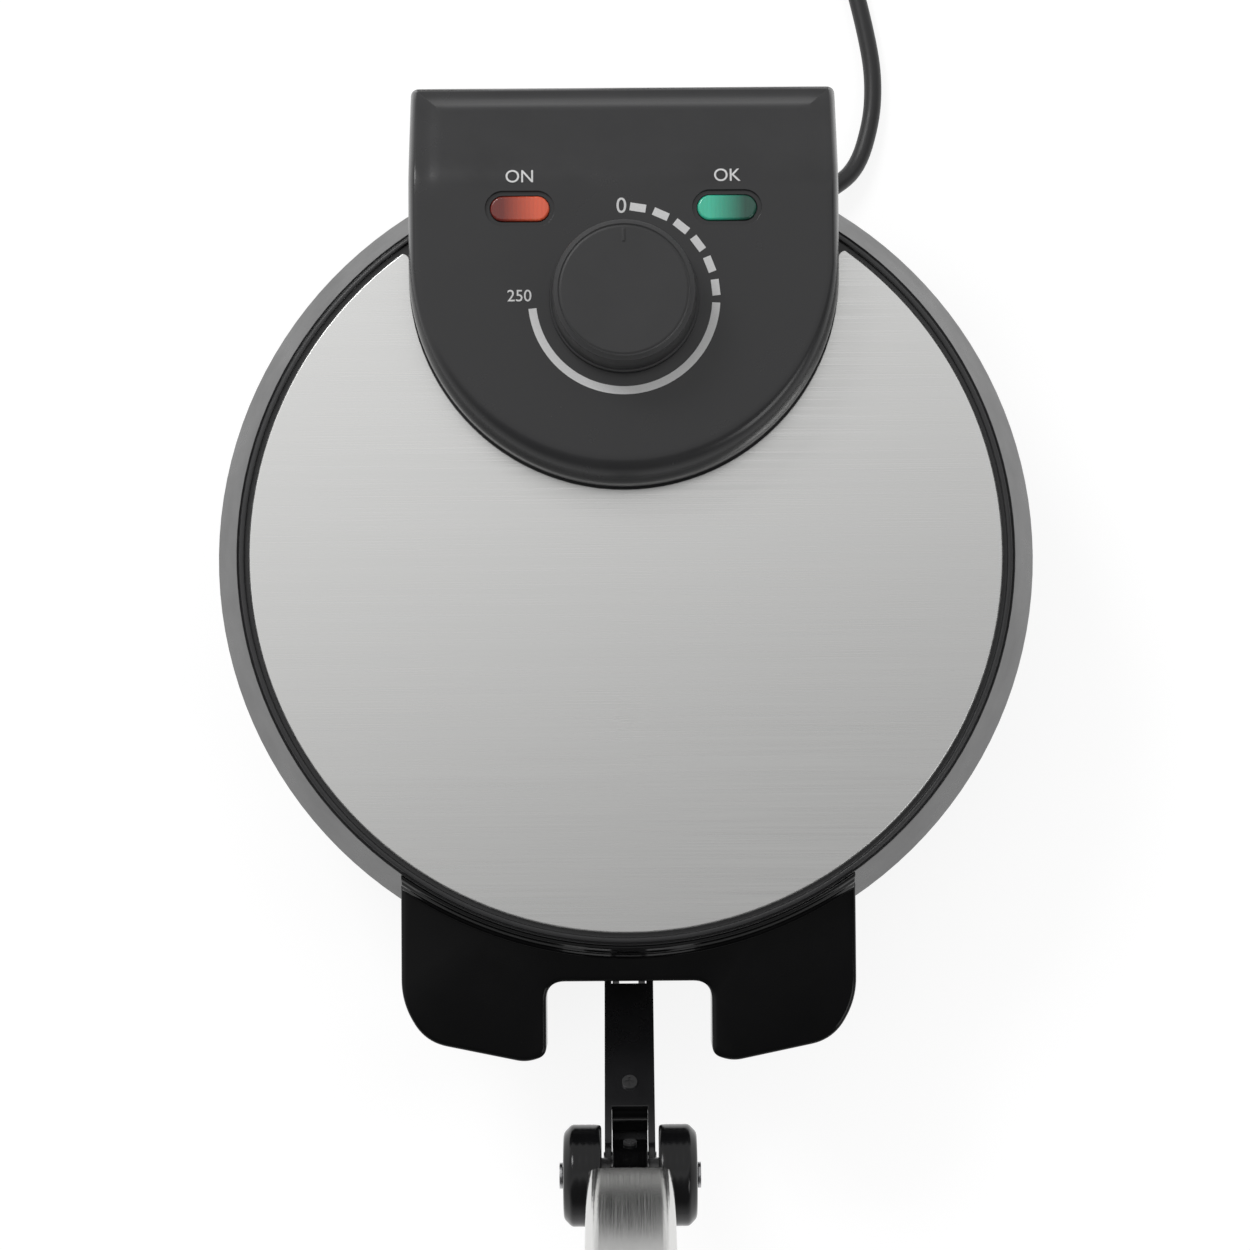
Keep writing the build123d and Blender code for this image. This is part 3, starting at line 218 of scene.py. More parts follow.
# Mains lead: one smooth line from the strain relief to the plug, with its coil behind the object
cordFacts = {
    "exit": (0.053, 0.127, 0.015), "relief": 0.015, "diameter": 0.0066, "length": 1.185,
    "run": [(0.0783, 0.1410, 0.0092), (0.0882, 0.1499, 0.0048), (0.0934, 0.1672, 0.0036), (0.0944, 0.1805, 0.0036),
            (0.0933, 0.1934, 0.0036), (0.0881, 0.2168, 0.0036), (0.0805, 0.2430, 0.0036), (0.0768, 0.2667, 0.0036)],
    "coilRadius": 0.0365, "pitch": 0.0074, "turns": 4.23, "rise": 0.0074, "perTurn": 18,
    "tailRun": [(-0.0050, -0.0020, 0.0080), (-0.0220, -0.0076, 0.0068), (-0.0370, -0.0134, 0.0084),
                (-0.0480, -0.0174, 0.0094)],
}


# Two layers: spiral in, climb over half a turn, spiral out; starts at the end of the free run
def coilPoints(facts):
    entry = Vector(facts["run"][-1])
    way = (entry - Vector(facts["run"][-2])).normalized()
    begin = entry + way * facts["diameter"]
    inner = (facts["turns"] - 0.5) / 2
    startRadius = facts["coilRadius"] + facts["pitch"] * inner / 2
    startAngle = atan2(way.y, way.x) - pi / 2 - atan2(facts["pitch"] / (2 * pi), startRadius)
    centre = begin - Vector((cos(startAngle), sin(startAngle), 0)) * startRadius
    points = []
    steps = round(facts["turns"] * facts["perTurn"])
    for i in range(steps + 1):
        turn = facts["turns"] * i / steps
        lift = 0.0
        if turn <= inner:
            radius = startRadius - facts["pitch"] * turn
        elif turn <= inner + 0.5:
            part = (turn - inner) / 0.5
            radius = startRadius - facts["pitch"] * (inner + 0.5 * (part - part * part))
            lift = facts["rise"] * part * part * (3 - 2 * part)
        else:
            radius = startRadius - facts["pitch"] * (2 * inner + 0.5 - turn)
            lift = facts["rise"]
        angle = startAngle + 2 * pi * turn
        points.append(centre + Vector((radius * cos(angle), radius * sin(angle), lift)))
    return points


def makeCord(facts):
    way = (Vector(facts["run"][0]) - Vector(facts["exit"])).normalized()
    start = Vector(facts["exit"]) + way * facts["relief"]
    coil = coilPoints(facts)
    lastWay = (coil[-1] - coil[-2]).normalized()
    coilEnd = coil[-1] + lastWay * facts["diameter"]
    tail = [coilEnd + lastWay * 0.012] + [Vector((x, coilEnd.y + y, z)) for x, y, z in facts["tailRun"]]
    points = [start] + [Vector(p) for p in facts["run"]] + coil + tail
    curve = bpy.data.curves.new("mainsLead", "CURVE")
    curve.dimensions = "3D"
    spline = curve.splines.new("NURBS")
    spline.points.add(len(points) - 1)
    for point, place in zip(spline.points, points):
        point.co = (*place, 1)
    spline.order_u = 3
    spline.use_endpoint_u = True
    spline.resolution_u = 6
    curve.bevel_depth = facts["diameter"] / 2
    curve.bevel_resolution = 5
    curve.use_fill_caps = True
    lead = bpy.data.objects.new("mainsLead", curve)
    scene.collection.objects.link(lead)
    curve.materials.append(looks["cord_black"])
    return lead, start


mainsLead, leadExit = makeCord(cordFacts)
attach(mainsLead, "base")
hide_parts("power_cord", "cord_coil", "cord_tail")
print("stage: mains lead")


# Mesh helpers
def newPiece(name, mesh, slotName, body, sharp=32):
    piece = bpy.data.objects.new(name, mesh)
    scene.collection.objects.link(piece)
    mesh.shade_smooth()
    mesh.set_sharp_from_angle(angle=radians(sharp))
    mesh.materials.clear()
    mesh.materials.append(looks[slotName])
    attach(piece, body)
    return piece


# Mesh turned about Z from (radius, height) points; ends at radius 0 close it
def lathe(name, profile, segments=160):
    work = bmesh.new()
    rings = []
    for radius, height in profile:
        if radius < 1e-7:
            rings.append([work.verts.new((0, 0, height))])
            continue
        turns = [2 * pi * i / segments for i in range(segments)]
        rings.append([work.verts.new((radius * cos(a), radius * sin(a), height)) for a in turns])
    for low, high in zip(rings, rings[1:]):
        for i in range(segments):
            j = (i + 1) % segments
            if len(low) == 1:
                work.faces.new((low[0], high[i], high[j]))
            elif len(high) == 1:
                work.faces.new((low[i], low[j], high[0]))
            else:
                work.faces.new((low[i], low[j], high[j], high[i]))
    bmesh.ops.recalc_face_normals(work, faces=work.faces)
    mesh = bpy.data.meshes.new(name)
    work.to_mesh(mesh)
    work.free()
    return mesh


# (radius, height, rounding) corners as a profile with arcs of that rounding
def roundedProfile(corners, steps=5):
    points = []
    for i, (r, z, rounding) in enumerate(corners):
        here = Vector((r, z))
        if rounding <= 0 or i in (0, len(corners) - 1):
            points.append((r, z))
            continue
        before = (Vector(corners[i - 1][:2]) - here).normalized()
        after = (Vector(corners[i + 1][:2]) - here).normalized()
        for k in range(steps + 1):
            t = k / steps
            place = here + before * rounding * (1 - t) ** 2 + after * rounding * t ** 2
            points.append((place.x, place.y))
    return points


# Knob: straight flared side, flat crowned top with a shallow groove ring and a short pointer
knobLow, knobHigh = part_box("knob")
knobFacts = {"baseRadius": 25.2 * mm, "topRadius": 23.5 * mm, "grooveRadius": 21.4 * mm, "wall": 3.5 * mm,
             "pointerRadius": 18.2 * mm, "pointer": (1.1 * mm, 4.6 * mm, 0.5 * mm)}
dialCentre = Vector(((knobLow.x + knobHigh.x) / 2, (knobLow.y + knobHigh.y) / 2, 0))


def makeKnob(facts):
    base, top = knobLow.z, knobHigh.z
    groove, outer = facts["grooveRadius"], facts["topRadius"]
    inside = facts["baseRadius"] - facts["wall"]
    corners = [
        (7.0 * mm, base + 1 * mm, 0), (7.0 * mm, top - 6 * mm, 0), (inside, top - 6 * mm, 0), (inside, base, 0.4 * mm),
        (facts["baseRadius"], base, 0.5 * mm), (facts["baseRadius"], base + 2.0 * mm, 0.5 * mm),
        (facts["baseRadius"] - 0.7 * mm, base + 2.6 * mm, 0.3 * mm), (outer, top - 1.2 * mm, 0.6 * mm),
        (outer - 1.6 * mm, top, 0.8 * mm), (groove + 0.5 * mm, top, 0.2 * mm), (groove + 0.1 * mm, top - 0.5 * mm, 0.1 * mm),
        (groove - 0.6 * mm, top - 0.3 * mm, 0.2 * mm), (0, top - 0.9 * mm, 0),
    ]
    work = bmesh.new()
    pointer = bmesh.ops.create_cube(work, size=1.0)["verts"]
    for vertex in pointer:
        vertex.co = Vector([c * s for c, s in zip(vertex.co, facts["pointer"])])
    bmesh.ops.bevel(work, geom=work.edges[:], offset=0.2 * mm, segments=3, affect="EDGES")
    bmesh.ops.translate(work, vec=(0, facts["pointerRadius"], top - 0.45 * mm), verts=work.verts)
    mesh = lathe("dialKnob", roundedProfile(corners), 192)
    work.from_mesh(mesh)
    work.to_mesh(mesh)
    work.free()
    mesh.transform(Matrix.Translation(dialCentre))
    return newPiece("dialKnob", mesh, "knob_black", "dial_knob")


dialKnob = makeKnob(knobFacts)
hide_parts("knob")
print("stage: knob")


# Rollers: two drums on the axle, each with rounded shoulders, a hub recess and fine turned rings
rollerFacts = {"inner": 9.9 * mm, "radius": 17.3 * mm, "length": 13.0 * mm, "bore": 3.05 * mm, "rings": 3}
rollerLow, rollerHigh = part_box("press_rollers")
rollerCentre = (rollerLow + rollerHigh) / 2


def makeRollers(facts):
    work = bmesh.new()
    length, radius = facts["length"], facts["radius"]
    corners = [(facts["bore"], 0, 0), (radius - 0.2 * mm, 0, 1.2 * mm)]
    spacing = (length - 4.0 * mm) / (facts["rings"] + 1)
    for ring in range(facts["rings"]):
        place = 1.0 * mm + spacing * (ring + 1)
        corners += [(radius, place - 0.35 * mm, 0), (radius - 0.05 * mm, place, 0), (radius, place + 0.35 * mm, 0)]
    corners += [(radius, length - 2.8 * mm, 0.9 * mm), (radius - 2.8 * mm, length, 1.2 * mm), (radius - 5.0 * mm, length, 0.3 * mm),
                (radius - 5.6 * mm, length - 0.9 * mm, 0.3 * mm), (6.4 * mm, length - 0.9 * mm, 0.3 * mm),
                (6.0 * mm, length, 0.3 * mm), (facts["bore"], length, 0)]
    for side in (-1, 1):
        mesh = lathe("drum", roundedProfile(corners, 4), 128)
        mesh.transform(Matrix.Rotation(side * pi / 2, 4, "Y"))
        mesh.transform(Matrix.Translation((side * facts["inner"], rollerCentre.y, rollerCentre.z)))
        work.from_mesh(mesh)
        bpy.data.meshes.remove(mesh)
    mesh = bpy.data.meshes.new("pressRollers")
    work.to_mesh(mesh)
    work.free()
    return newPiece("pressRollers", mesh, "roller_rubber", "rollers")


pressRollers = makeRollers(rollerFacts)
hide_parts("press_rollers")
print("stage: rollers")

# Control pod: U-shaped plan, flat face, rear that falls away in a soft curve, glossy edge wider at the nose
podLow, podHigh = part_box("control_pod")
podTop = podHigh.z
podFacts = {"half": 73.0 * mm, "corner": 3.0 * mm, "sideBevel": 3.0 * mm, "noseBevel": 7.6 * mm, "bevelDrop": 9.5 * mm,
            "fall": [(123.8, 0.0), (127.5, 0.45), (130.8, 1.4), (135.0, 3.1), (139.8, 5.4), (155.5, 12.6),
                     (159.8, 15.4), (163.0, 18.6)], "recess": (23.4 * mm, 11.9 * mm, 1.2 * mm),
            "lens": (20.4 * mm, 8.9 * mm, 6.2 * mm), "lampY": 115.7 * mm, "lampX": 34.9 * mm, "shaft": 3.9 * mm}


def podFall(y, facts):
    points = facts["fall"]
    if y <= points[0][0] * mm:
        return 0.0
    for (y0, d0), (y1, d1) in zip(points, points[1:]):
        if y <= y1 * mm:
            return (d0 + (d1 - d0) * (y - y0 * mm) / ((y1 - y0) * mm)) * mm
    return points[-1][1] * mm


# Plan points and inward directions, anticlockwise from the right-hand end of the nose arc
def podPlan(facts):
    half, back, corner = facts["half"], podHigh.y, facts["corner"]
    centreY = podLow.y + half
    plan = []
    for i in range(21):
        y = centreY + (back - corner - centreY) * i / 20
        plan.append((Vector((half, y)), Vector((-1, 0)), 0.0))
    for i in range(1, 7):
        a = pi / 2 * i / 7
        way = Vector((cos(a), sin(a)))
        plan.append((Vector((half - corner, back - corner)) + way * corner, -way, 0.0))
    for i in range(41):
        plan.append((Vector(((half - corner) * (1 - i / 20), back)), Vector((0, -1)), 0.0))
    mirrored = [(Vector((-p.x, p.y)), Vector((-n.x, n.y)), w) for p, n, w in plan[:27][::-1]]
    plan += mirrored
    for i in range(1, 96):
        a = pi + pi * i / 96
        way = Vector((cos(a), sin(a)))
        plan.append((Vector((0, centreY)) + way * half, -way, sin(pi * i / 96) ** 0.8))
    return plan


# Closed stadium prism, used to cut the lamp recesses
def stadiumMesh(x, y, length, width, low, high):
    work = bmesh.new()
    reach = (length - width) / 2
    loop = []
    for i in range(64):
        a = 2 * pi * (i + 0.5) / 64
        middle = x + (reach if cos(a) > 0 else -reach)
        loop.append((middle + cos(a) * width / 2, y + sin(a) * width / 2))
    rings = [[work.verts.new((px, py, z)) for px, py in loop] for z in (low, high)]
    work.faces.new(rings[0][::-1])
    work.faces.new(rings[1])
    for i in range(64):
        j = (i + 1) % 64
        work.faces.new((rings[0][i], rings[0][j], rings[1][j], rings[1][i]))
    mesh = bpy.data.meshes.new("cutter")
    work.to_mesh(mesh)
    work.free()
    return mesh


def cutMesh(mesh, cutters):
    body = bpy.data.objects.new("cutBody", mesh)
    scene.collection.objects.link(body)
    tools = []
    for cutter in cutters:
        tool = bpy.data.objects.new("cutTool", cutter)
        scene.collection.objects.link(tool)
        tools.append(tool)
        cut = body.modifiers.new("cut", "BOOLEAN")
        cut.operation = "DIFFERENCE"
        cut.solver = "EXACT"
        cut.object = tool
    bpy.context.view_layer.update()
    seen = body.evaluated_get(bpy.context.evaluated_depsgraph_get())
    result = bpy.data.meshes.new_from_object(seen)
    for item in tools + [body]:
        bpy.data.objects.remove(item)
    return result


def makePod(facts):
    work = bmesh.new()
    plan = podPlan(facts)
    centre = Vector((0, podLow.y + facts["half"]))
    rings = [[work.verts.new((p.x, p.y, podLow.z)) for p, _, _ in plan]]
    for k in range(13):
        t = k / 12
        ring = []
        for place, inward, nose in plan:
            width = facts["sideBevel"] + (facts["noseBevel"] - facts["sideBevel"]) * nose
            spot = place + inward * width * (1 - cos(t * pi / 2)) ** 0.9
            drop = facts["bevelDrop"] * (1 - sin(t * pi / 2) ** 0.9)
            ring.append(work.verts.new((spot.x, spot.y, podTop - podFall(place.y, facts) - drop)))
        rings.append(ring)
    rim = [Vector(v.co) for v in rings[-1]]
    for k in range(1, 40):
        share = 1 - k / 40
        ring = []
        for edge in rim:
            spot = centre + (Vector((edge.x, edge.y)) - centre) * share
            settle = min(1.0, k / 4)
            surface = podTop - podFall(spot.y, facts)
            ring.append(work.verts.new((spot.x, spot.y, edge.z * (1 - settle) + surface * settle if k < 4 else surface)))
        rings.append(ring)
    for low, high in zip(rings, rings[1:]):
        for i in range(len(plan)):
            j = (i + 1) % len(plan)
            work.faces.new((low[i], low[j], high[j], high[i]))
    work.faces.new(rings[0][::-1])
    top = work.verts.new((centre.x, centre.y, podTop))
    for i in range(len(plan)):
        work.faces.new((rings[-1][i], rings[-1][(i + 1) % len(plan)], top))
    bmesh.ops.recalc_face_normals(work, faces=work.faces)
    mesh = bpy.data.meshes.new("pod")
    work.to_mesh(mesh)
    work.free()
    cutters = []
    for side in (-1, 1):
        for length, width, depth in (facts["recess"], facts["lens"]):
            cutters.append(stadiumMesh(side * facts["lampX"], facts["lampY"], length, width, podTop - depth,
                                       podTop + 5 * mm))
    bore = facts["shaft"] * 2
    cutters.append(stadiumMesh(dialCentre.x, dialCentre.y, bore * 1.0001, bore, podTop - 8 * mm, podTop + 5 * mm))
    return newPiece("controlPod", cutMesh(mesh, cutters), "pod_black", "lid", 38)


controlPod = makePod(podFacts)
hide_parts("control_pod")
print("stage: pod")

# Front collar: lugs with round corners, soft top edge and stepped ridges where it climbs the lid
collarLow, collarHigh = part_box("front_collar")
collarFacts = {
    "corners": [(78.5, -107.0, 0.0), (78.5, -153.4, 13.0), (70.4, -167.2, 14.0), (35.6, -174.4, 3.4),
                (28.6, -172.2, 3.2), (28.6, -146.7, 6.5)],
    "lidRadius": 142.8 * mm, "slopeRadius": 133.7 * mm, "slopeTop": 94.0 * mm, "wallTop": 72.0 * mm, "top": 85.0 * mm,
    "edge": [(0.0, 1.7), (0.12, 0.9), (0.45, 0.4), (1.0, 0.1), (1.7, 0.0)],
    "ridges": [(0.1, 0.0), (0.25, 0.65), (0.9, 0.85), (1.5, 0.35), (1.75, -1.0), (2.2, -1.5), (2.8, -1.9), (3.1, -2.6),
               (3.2, -4.2), (3.6, -4.9), (4.3, -5.5), (4.7, -6.8), (4.9, -8.9), (4.9, -13.0)],
    "ridgeHalf": 77.6 * mm,
}


# One half of the plan with rounded corners, then its mirror image
def collarPlan(facts):
    corners = [Vector((x * mm, y * mm)) for x, y, _ in facts["corners"]]
    reach = [r * mm for _, _, r in facts["corners"]]
    half = [corners[0]]
    for i in range(1, len(corners)):
        here = corners[i]
        after = corners[i + 1] if i + 1 < len(corners) else Vector((0, here.y))
        inWay, outWay = (corners[i - 1] - here), (after - here)
        cut = min(reach[i], inWay.length * 0.48, outWay.length * 0.48)
        for k in range(11):
            t = k / 10
            half.append(here + inWay.normalized() * cut * (1 - t) ** 2 + outWay.normalized() * cut * t ** 2)
    return half + [Vector((-p.x, p.y)) for p in half[::-1]]


def lidEdge(z, facts):
    if z <= facts["wallTop"]:
        return facts["lidRadius"]
    share = (z - facts["wallTop"]) / (facts["slopeTop"] - facts["wallTop"])
    return facts["lidRadius"] + (facts["slopeRadius"] - facts["lidRadius"]) * share


def makeCollar(facts):
    work = bmesh.new()
    outer = collarPlan(facts)
    inward = []
    for i, p in enumerate(outer):
        before, after = outer[max(i - 1, 0)], outer[min(i + 1, len(outer) - 1)]
        if before.x > 78.4 * mm and after.x > 78.4 * mm:
            before, after = Vector((0, 0)), Vector((0, -1))
        way = (after - before).normalized()
        inward.append(Vector((way.y, -way.x)))
    levels = [(collarLow.z, 0.0)] + [(facts["top"] - drop * mm, inset * mm) for inset, drop in facts["edge"]]
    rings = []
    for z, inset in levels:
        ring = []
        for p, n in zip(outer, inward):
            spot = p + n * inset
            if spot.length < lidEdge(z, facts):
                spot.y = -(lidEdge(z, facts) ** 2 - spot.x ** 2) ** 0.5
            ring.append(work.verts.new((spot.x, spot.y, z)))
        start, end = ring[-1].co, ring[0].co
        first, last = atan2(start.x, -start.y), atan2(end.x, -end.y)
        for k in range(1, 64):
            a = first + (last - first) * k / 64
            ring.append(work.verts.new((sin(a) * lidEdge(z, facts), -cos(a) * lidEdge(z, facts), z)))
        rings.append(ring)
    count = len(rings[0])
    for low, high in zip(rings, rings[1:]):
        for i in range(count):
            work.faces.new((low[i], low[(i + 1) % count], high[(i + 1) % count], high[i]))
    work.faces.new(rings[0][::-1])
    work.faces.new(rings[-1])
    profile = [(facts["slopeRadius"] + r * mm, facts["slopeTop"] + z * mm) for r, z in facts["ridges"]]
    profile.append((lidEdge(profile[-1][1], facts), profile[-1][1]))
    sector = []
    for k in range(97):
        ring = []
        for radius, z in profile:
            reachAngle = atan2(facts["ridgeHalf"], (radius ** 2 - facts["ridgeHalf"] ** 2) ** 0.5)
            a = -reachAngle + 2 * reachAngle * k / 96
            ring.append(work.verts.new((sin(a) * radius, -cos(a) * radius, z)))
        sector.append(ring)
    points = len(profile)
    for low, high in zip(sector, sector[1:]):
        for i in range(points):
            work.faces.new((low[i], low[(i + 1) % points], high[(i + 1) % points], high[i]))
    work.faces.new(sector[0])
    work.faces.new(sector[-1][::-1])
    bmesh.ops.recalc_face_normals(work, faces=work.faces)
    bmesh.ops.triangulate(work, faces=[f for f in work.faces if len(f.verts) > 4])
    mesh = bpy.data.meshes.new("frontCollar")
    work.to_mesh(mesh)
    work.free()
    return newPiece("frontCollar", mesh, "gloss_black", "lid", 40)


frontCollar = makeCollar(collarFacts)
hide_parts("front_collar")
print("stage: collar")

# Printed scale and words on the pod's face
printFacts = {"scaleRadius": 31.0 * mm, "stroke": 2.7 * mm, "dashLength": 5.4 * mm, "dashes": 6, "firstDash": 9.0,
              "dashStep": 14.9, "arcFrom": 93.0, "arcTo": 264.0, "film": 0.08 * mm, "wordFilm": 0.20 * mm}
printInk, printTree, printSurface = newMaterial("printInk")
inkSpots = noise(printTree, places(printTree), 2600.0)
printTree.links.new(colourMix(printTree, inkSpots, (0.60, 0.60, 0.60), (0.74, 0.74, 0.74)),
                    printSurface.inputs["Base Color"])
printSurface.inputs["Roughness"].default_value = 0.5
looks["print"] = printInk


# Points on a circle, each with a small box turned to face the centre
def dashTree():
    tree = bpy.data.node_groups.new("scaleDashes", "GeometryNodeTree")
    faces = (("Geometry", "NodeSocketGeometry"), ("Count", "NodeSocketInt"), ("Radius", "NodeSocketFloat"),
             ("Start", "NodeSocketFloat"), ("Step", "NodeSocketFloat"), ("Size", "NodeSocketVector"),
             ("Centre", "NodeSocketVector"), ("Material", "NodeSocketMaterial"))
    for label, kind in faces:
        tree.interface.new_socket(name=label, in_out="INPUT", socket_type=kind)
    tree.interface.new_socket(name="Geometry", in_out="OUTPUT", socket_type="NodeSocketGeometry")
    given = tree.nodes.new("NodeGroupInput").outputs
    index = tree.nodes.new("GeometryNodeInputIndex").outputs[0]
    turned = addNode(tree, "ShaderNodeMath", {0: index, 1: given["Step"], 2: given["Start"]}, operation="MULTIPLY_ADD")
    sideways = addNode(tree, "ShaderNodeMath", {0: turned.outputs[0]}, operation="SINE")
    ahead = addNode(tree, "ShaderNodeMath", {0: turned.outputs[0]}, operation="COSINE")
    way = addNode(tree, "ShaderNodeCombineXYZ", {0: sideways.outputs[0], 1: ahead.outputs[0]})
    reach = addNode(tree, "ShaderNodeVectorMath", {0: way.outputs[0], "Scale": given["Radius"]}, operation="SCALE")
    place = addNode(tree, "ShaderNodeVectorMath", {0: reach.outputs[0], 1: given["Centre"]}, operation="ADD")
    points = addNode(tree, "GeometryNodePoints", {"Count": given["Count"], "Position": place.outputs[0]})
    back = addNode(tree, "ShaderNodeMath", {0: turned.outputs[0], 1: -1.0}, operation="MULTIPLY")
    facing = addNode(tree, "ShaderNodeCombineXYZ", {2: back.outputs[0]})
    box = addNode(tree, "GeometryNodeMeshCube", {"Size": given["Size"]})
    spread = addNode(tree, "GeometryNodeInstanceOnPoints", {"Points": points.outputs[0], "Instance": box.outputs[0],
                                                            "Rotation": facing.outputs[0]})
    plain = addNode(tree, "GeometryNodeRealizeInstances", {"Geometry": spread.outputs[0]})
    coated = addNode(tree, "GeometryNodeSetMaterial", {"Geometry": plain.outputs[0], "Material": given["Material"]})
    tree.links.new(coated.outputs[0], tree.nodes.new("NodeGroupOutput").inputs[0])
    return tree


def plainMesh(obj):
    bpy.context.view_layer.update()
    seen = obj.evaluated_get(bpy.context.evaluated_depsgraph_get())
    return bpy.data.meshes.new_from_object(seen)


# The tree's result as a plain mesh, its inputs set by identifier
def repeatMesh(tree, values):
    holder = bpy.data.objects.new("holder", bpy.data.meshes.new("holder"))
    scene.collection.objects.link(holder)
    modifier = holder.modifiers.new("repeat", "NODES")
    modifier.node_group = tree
    for item in tree.interface.items_tree:
        if item.in_out == "INPUT" and item.name in values:
            modifier[item.identifier] = values[item.name]
    mesh = plainMesh(holder)
    bpy.data.objects.remove(holder)
    return mesh


# Flat band of the scale's long stroke, with rounded ends
def arcBand(facts, height):
    work = bmesh.new()
    steps = 120
    half = facts["stroke"] / 2
    previous = None
    for i in range(steps + 1):
        angle = radians(facts["arcFrom"] + (facts["arcTo"] - facts["arcFrom"]) * i / steps)
        near, far = facts["scaleRadius"] - half, facts["scaleRadius"] + half
        pair = [work.verts.new(dialCentre + Vector((r * sin(angle), r * cos(angle), height))) for r in (near, far)]
        if previous:
            work.faces.new((previous[0], previous[1], pair[1], pair[0]))
        previous = pair
    bmesh.ops.recalc_face_normals(work, faces=work.faces)
    mesh = bpy.data.meshes.new("scaleArc")
    work.to_mesh(mesh)
    work.free()
    return mesh


def wordMesh(words, size, x, y, facts):
    curve = bpy.data.curves.new("word", "FONT")
    curve.body = words
    curve.size = size
    curve.offset = 0.00002
    curve.align_x = "CENTER"
    curve.align_y = "CENTER"
    curve.resolution_u = 6
    holder = bpy.data.objects.new("word", curve)
    scene.collection.objects.link(holder)
    mesh = plainMesh(holder)
    bpy.data.objects.remove(holder)
    mesh.transform(Matrix.Translation((x, y, 0)))
    for vertex in mesh.vertices:
        vertex.co.z = podTop - podFall(vertex.co.y, podFacts) + facts["wordFilm"]
    return mesh


def makePrint(facts):
    height = podTop + facts["film"]
    dashes = repeatMesh(dashTree(), {
        "Count": facts["dashes"], "Radius": facts["scaleRadius"], "Start": radians(facts["firstDash"]),
        "Step": radians(facts["dashStep"]), "Size": (facts["dashLength"], facts["stroke"], facts["film"]),
        "Centre": (dialCentre.x, dialCentre.y, podTop + facts["film"] / 2 + 0.01 * mm), "Material": printInk})
    words = (("0", 7.4, -0.7, 116.2), ("250", 5.6, -35.2, 86.0), ("ON", 6.2, -34.9, 126.4), ("OK", 6.2, 34.9, 126.4))
    work = bmesh.new()
    for mesh in [dashes, arcBand(facts, height)] + [wordMesh(w, s * mm, x * mm, y * mm, facts) for w, s, x, y in words]:
        work.from_mesh(mesh)
        bpy.data.meshes.remove(mesh)
    mesh = bpy.data.meshes.new("podPrint")
    work.to_mesh(mesh)
    work.free()
    piece = bpy.data.objects.new("podPrint", mesh)
    scene.collection.objects.link(piece)
    mesh.materials.clear()
    mesh.materials.append(printInk)
    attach(piece, "lid")
    return piece


podPrint = makePrint(printFacts)
print("stage: print on the pod")

# Back plate of the press post, which closes its channel behind the lever's pin
plateFacts = {"pivot": (-149.0 * mm, 22.0 * mm), "lean": 52.0, "from": 56.0, "to": 68.5, "face": -5.6, "thick": 1.0,
              "half": 6.2, "bead": 0.5}


def makePlate(facts):
    lean = radians(facts["lean"])
    work = bmesh.new()
    bmesh.ops.create_cube(work, size=1.0)
    length, thick = facts["to"] - facts["from"], facts["thick"]
    for vertex in work.verts:
        vertex.co = Vector((vertex.co.x * facts["half"] * 2, vertex.co.y * thick, vertex.co.z * length)) * mm
    bmesh.ops.bevel(work, geom=work.edges[:], offset=facts["bead"] * 0.6 * mm, segments=3, affect="EDGES")
    along = (facts["from"] + facts["to"]) / 2 * mm
    face = facts["face"] * mm
    turnBack = Matrix.Rotation(lean, 4, "X")
    place = Vector((0, facts["pivot"][0] - along * sin(lean) + face * cos(lean),
                    facts["pivot"][1] + along * cos(lean) + face * sin(lean)))
    mesh = bpy.data.meshes.new("postPlate")
    work.to_mesh(mesh)
    work.free()
    mesh.transform(Matrix.Translation(place) @ turnBack)
    return newPiece("postPlate", mesh, "post_paint", "post")


makePlate(plateFacts)

# Floor: white to the camera and in reflections, with the object's own soft shadow
floorFacts = {"half": 3.0, "glow": 0.84, "shadowShare": 0.26, "albedo": 0.8}
floorMesh = bpy.data.meshes.new("floor")
half = floorFacts["half"]
floorMesh.from_pydata([(-half, -half, 0), (half, -half, 0), (half, half, 0), (-half, half, 0)], [], [(0, 1, 2, 3)])
floor = bpy.data.objects.new("floor", floorMesh)
scene.collection.objects.link(floor)
floorMaterial, floorTree, floorSurface = newMaterial("floorWhite")
floorTree.nodes.remove(floorSurface)
lightPath = addNode(floorTree, "ShaderNodeLightPath")
seenOrMirrored = addNode(floorTree, "ShaderNodeMath", {0: lightPath.outputs["Is Camera Ray"],
                                                       1: lightPath.outputs["Is Glossy Ray"]}, operation="ADD")
seenAtAll = addNode(floorTree, "ShaderNodeMath", {0: seenOrMirrored.outputs[0],
                                                  1: lightPath.outputs["Is Transmission Ray"]}, operation="MAXIMUM")
shadowed = addNode(floorTree, "ShaderNodeBsdfDiffuse", {"Color": (floorFacts["shadowShare"],) * 3 + (1,)})
glow = addNode(floorTree, "ShaderNodeEmission", {"Color": (1, 1, 1, 1), "Strength": floorFacts["glow"]})
seenFloor = addNode(floorTree, "ShaderNodeAddShader", {0: shadowed.outputs[0], 1: glow.outputs[0]})
plainFloor = addNode(floorTree, "ShaderNodeBsdfDiffuse", {"Color": (floorFacts["albedo"],) * 3 + (1,)})
floorMix = addNode(floorTree, "ShaderNodeMixShader", {0: seenAtAll.outputs[0], 1: plainFloor.outputs[0],
                                                      2: seenFloor.outputs[0]})
floorTree.links.new(floorMix.outputs[0], floorTree.nodes["Material Output"].inputs["Surface"])
floorMesh.materials.append(floorMaterial)

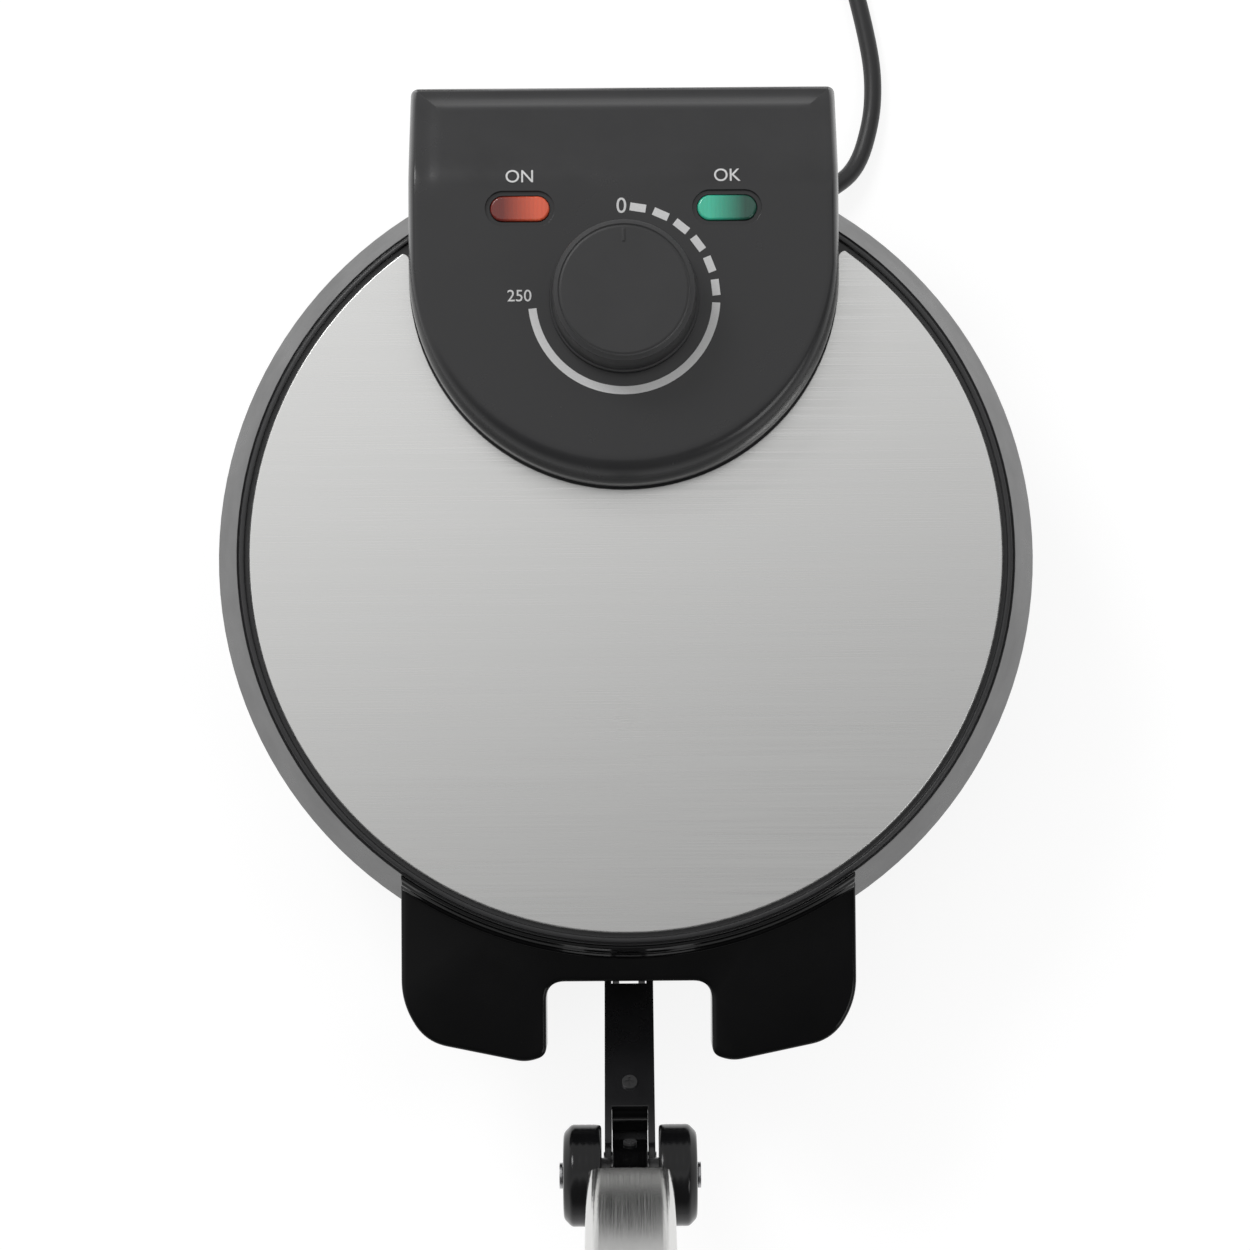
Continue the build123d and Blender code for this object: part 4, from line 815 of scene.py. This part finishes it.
# World: white to the camera; the object sees a studio that is bright at the back left and dark in front
worldFacts = {"leftShare": -0.35, "backShare": 1.0, "low": -0.30, "high": 0.30, "horizon": 0.80}
world = bpy.data.worlds.new("studio")
scene.world = world
world.use_nodes = True
worldTree = world.node_tree
worldTree.nodes.clear()
direction = addNode(worldTree, "ShaderNodeSeparateXYZ",
                    {"Vector": addNode(worldTree, "ShaderNodeTexCoord").outputs["Generated"]})
leftPart = addNode(worldTree, "ShaderNodeMath", {0: direction.outputs["X"], 1: worldFacts["leftShare"]},
                   operation="MULTIPLY")
slant = addNode(worldTree, "ShaderNodeMath", {0: direction.outputs["Y"], 1: worldFacts["backShare"],
                                              2: leftPart.outputs[0]}, operation="MULTIPLY_ADD")
backToFront = mapRange(worldTree, slant.outputs[0], worldFacts["low"], worldFacts["high"], 0.0, 1.0)
ceiling = ramp(worldTree, backToFront, [(0.0, 0.16), (0.35, 0.30), (0.5, 0.60), (0.68, 1.0), (0.85, 0.96), (1.0, 0.78)])
lowness = mapRange(worldTree, direction.outputs["Z"], 0.55, 0.15, 0.0, 1.0)
dome = colourMix(worldTree, lowness, ceiling, (worldFacts["horizon"],) * 3)
worldPath = addNode(worldTree, "ShaderNodeLightPath")
domeLight = addNode(worldTree, "ShaderNodeBackground", {"Color": dome, "Strength": 0.92})
whiteSight = addNode(worldTree, "ShaderNodeBackground", {"Color": (1, 1, 1, 1), "Strength": 1.0})
worldMix = addNode(worldTree, "ShaderNodeMixShader", {0: worldPath.outputs["Is Camera Ray"], 1: domeLight.outputs[0],
                                                      2: whiteSight.outputs[0]})
worldOut = addNode(worldTree, "ShaderNodeOutputWorld", {"Surface": worldMix.outputs[0]})

lampFacts = [
    {"name": "keyLight", "place": (-0.75, 0.95, 1.25), "size": 0.55, "energy": 9.0},
    {"name": "fillLight", "place": (0.85, -0.55, 1.05), "size": 0.5, "energy": 2.0},
]
for facts in lampFacts:
    lamp = bpy.data.lights.new(facts["name"], "AREA")
    lamp.energy = facts["energy"]
    lamp.size = facts["size"]
    holder = bpy.data.objects.new(facts["name"], lamp)
    holder.location = facts["place"]
    holder.rotation_euler = (Vector((0, 0, 0.05)) - holder.location).to_track_quat("-Z", "Y").to_euler()
    scene.collection.objects.link(holder)
print("stage: floor, world and lamps")
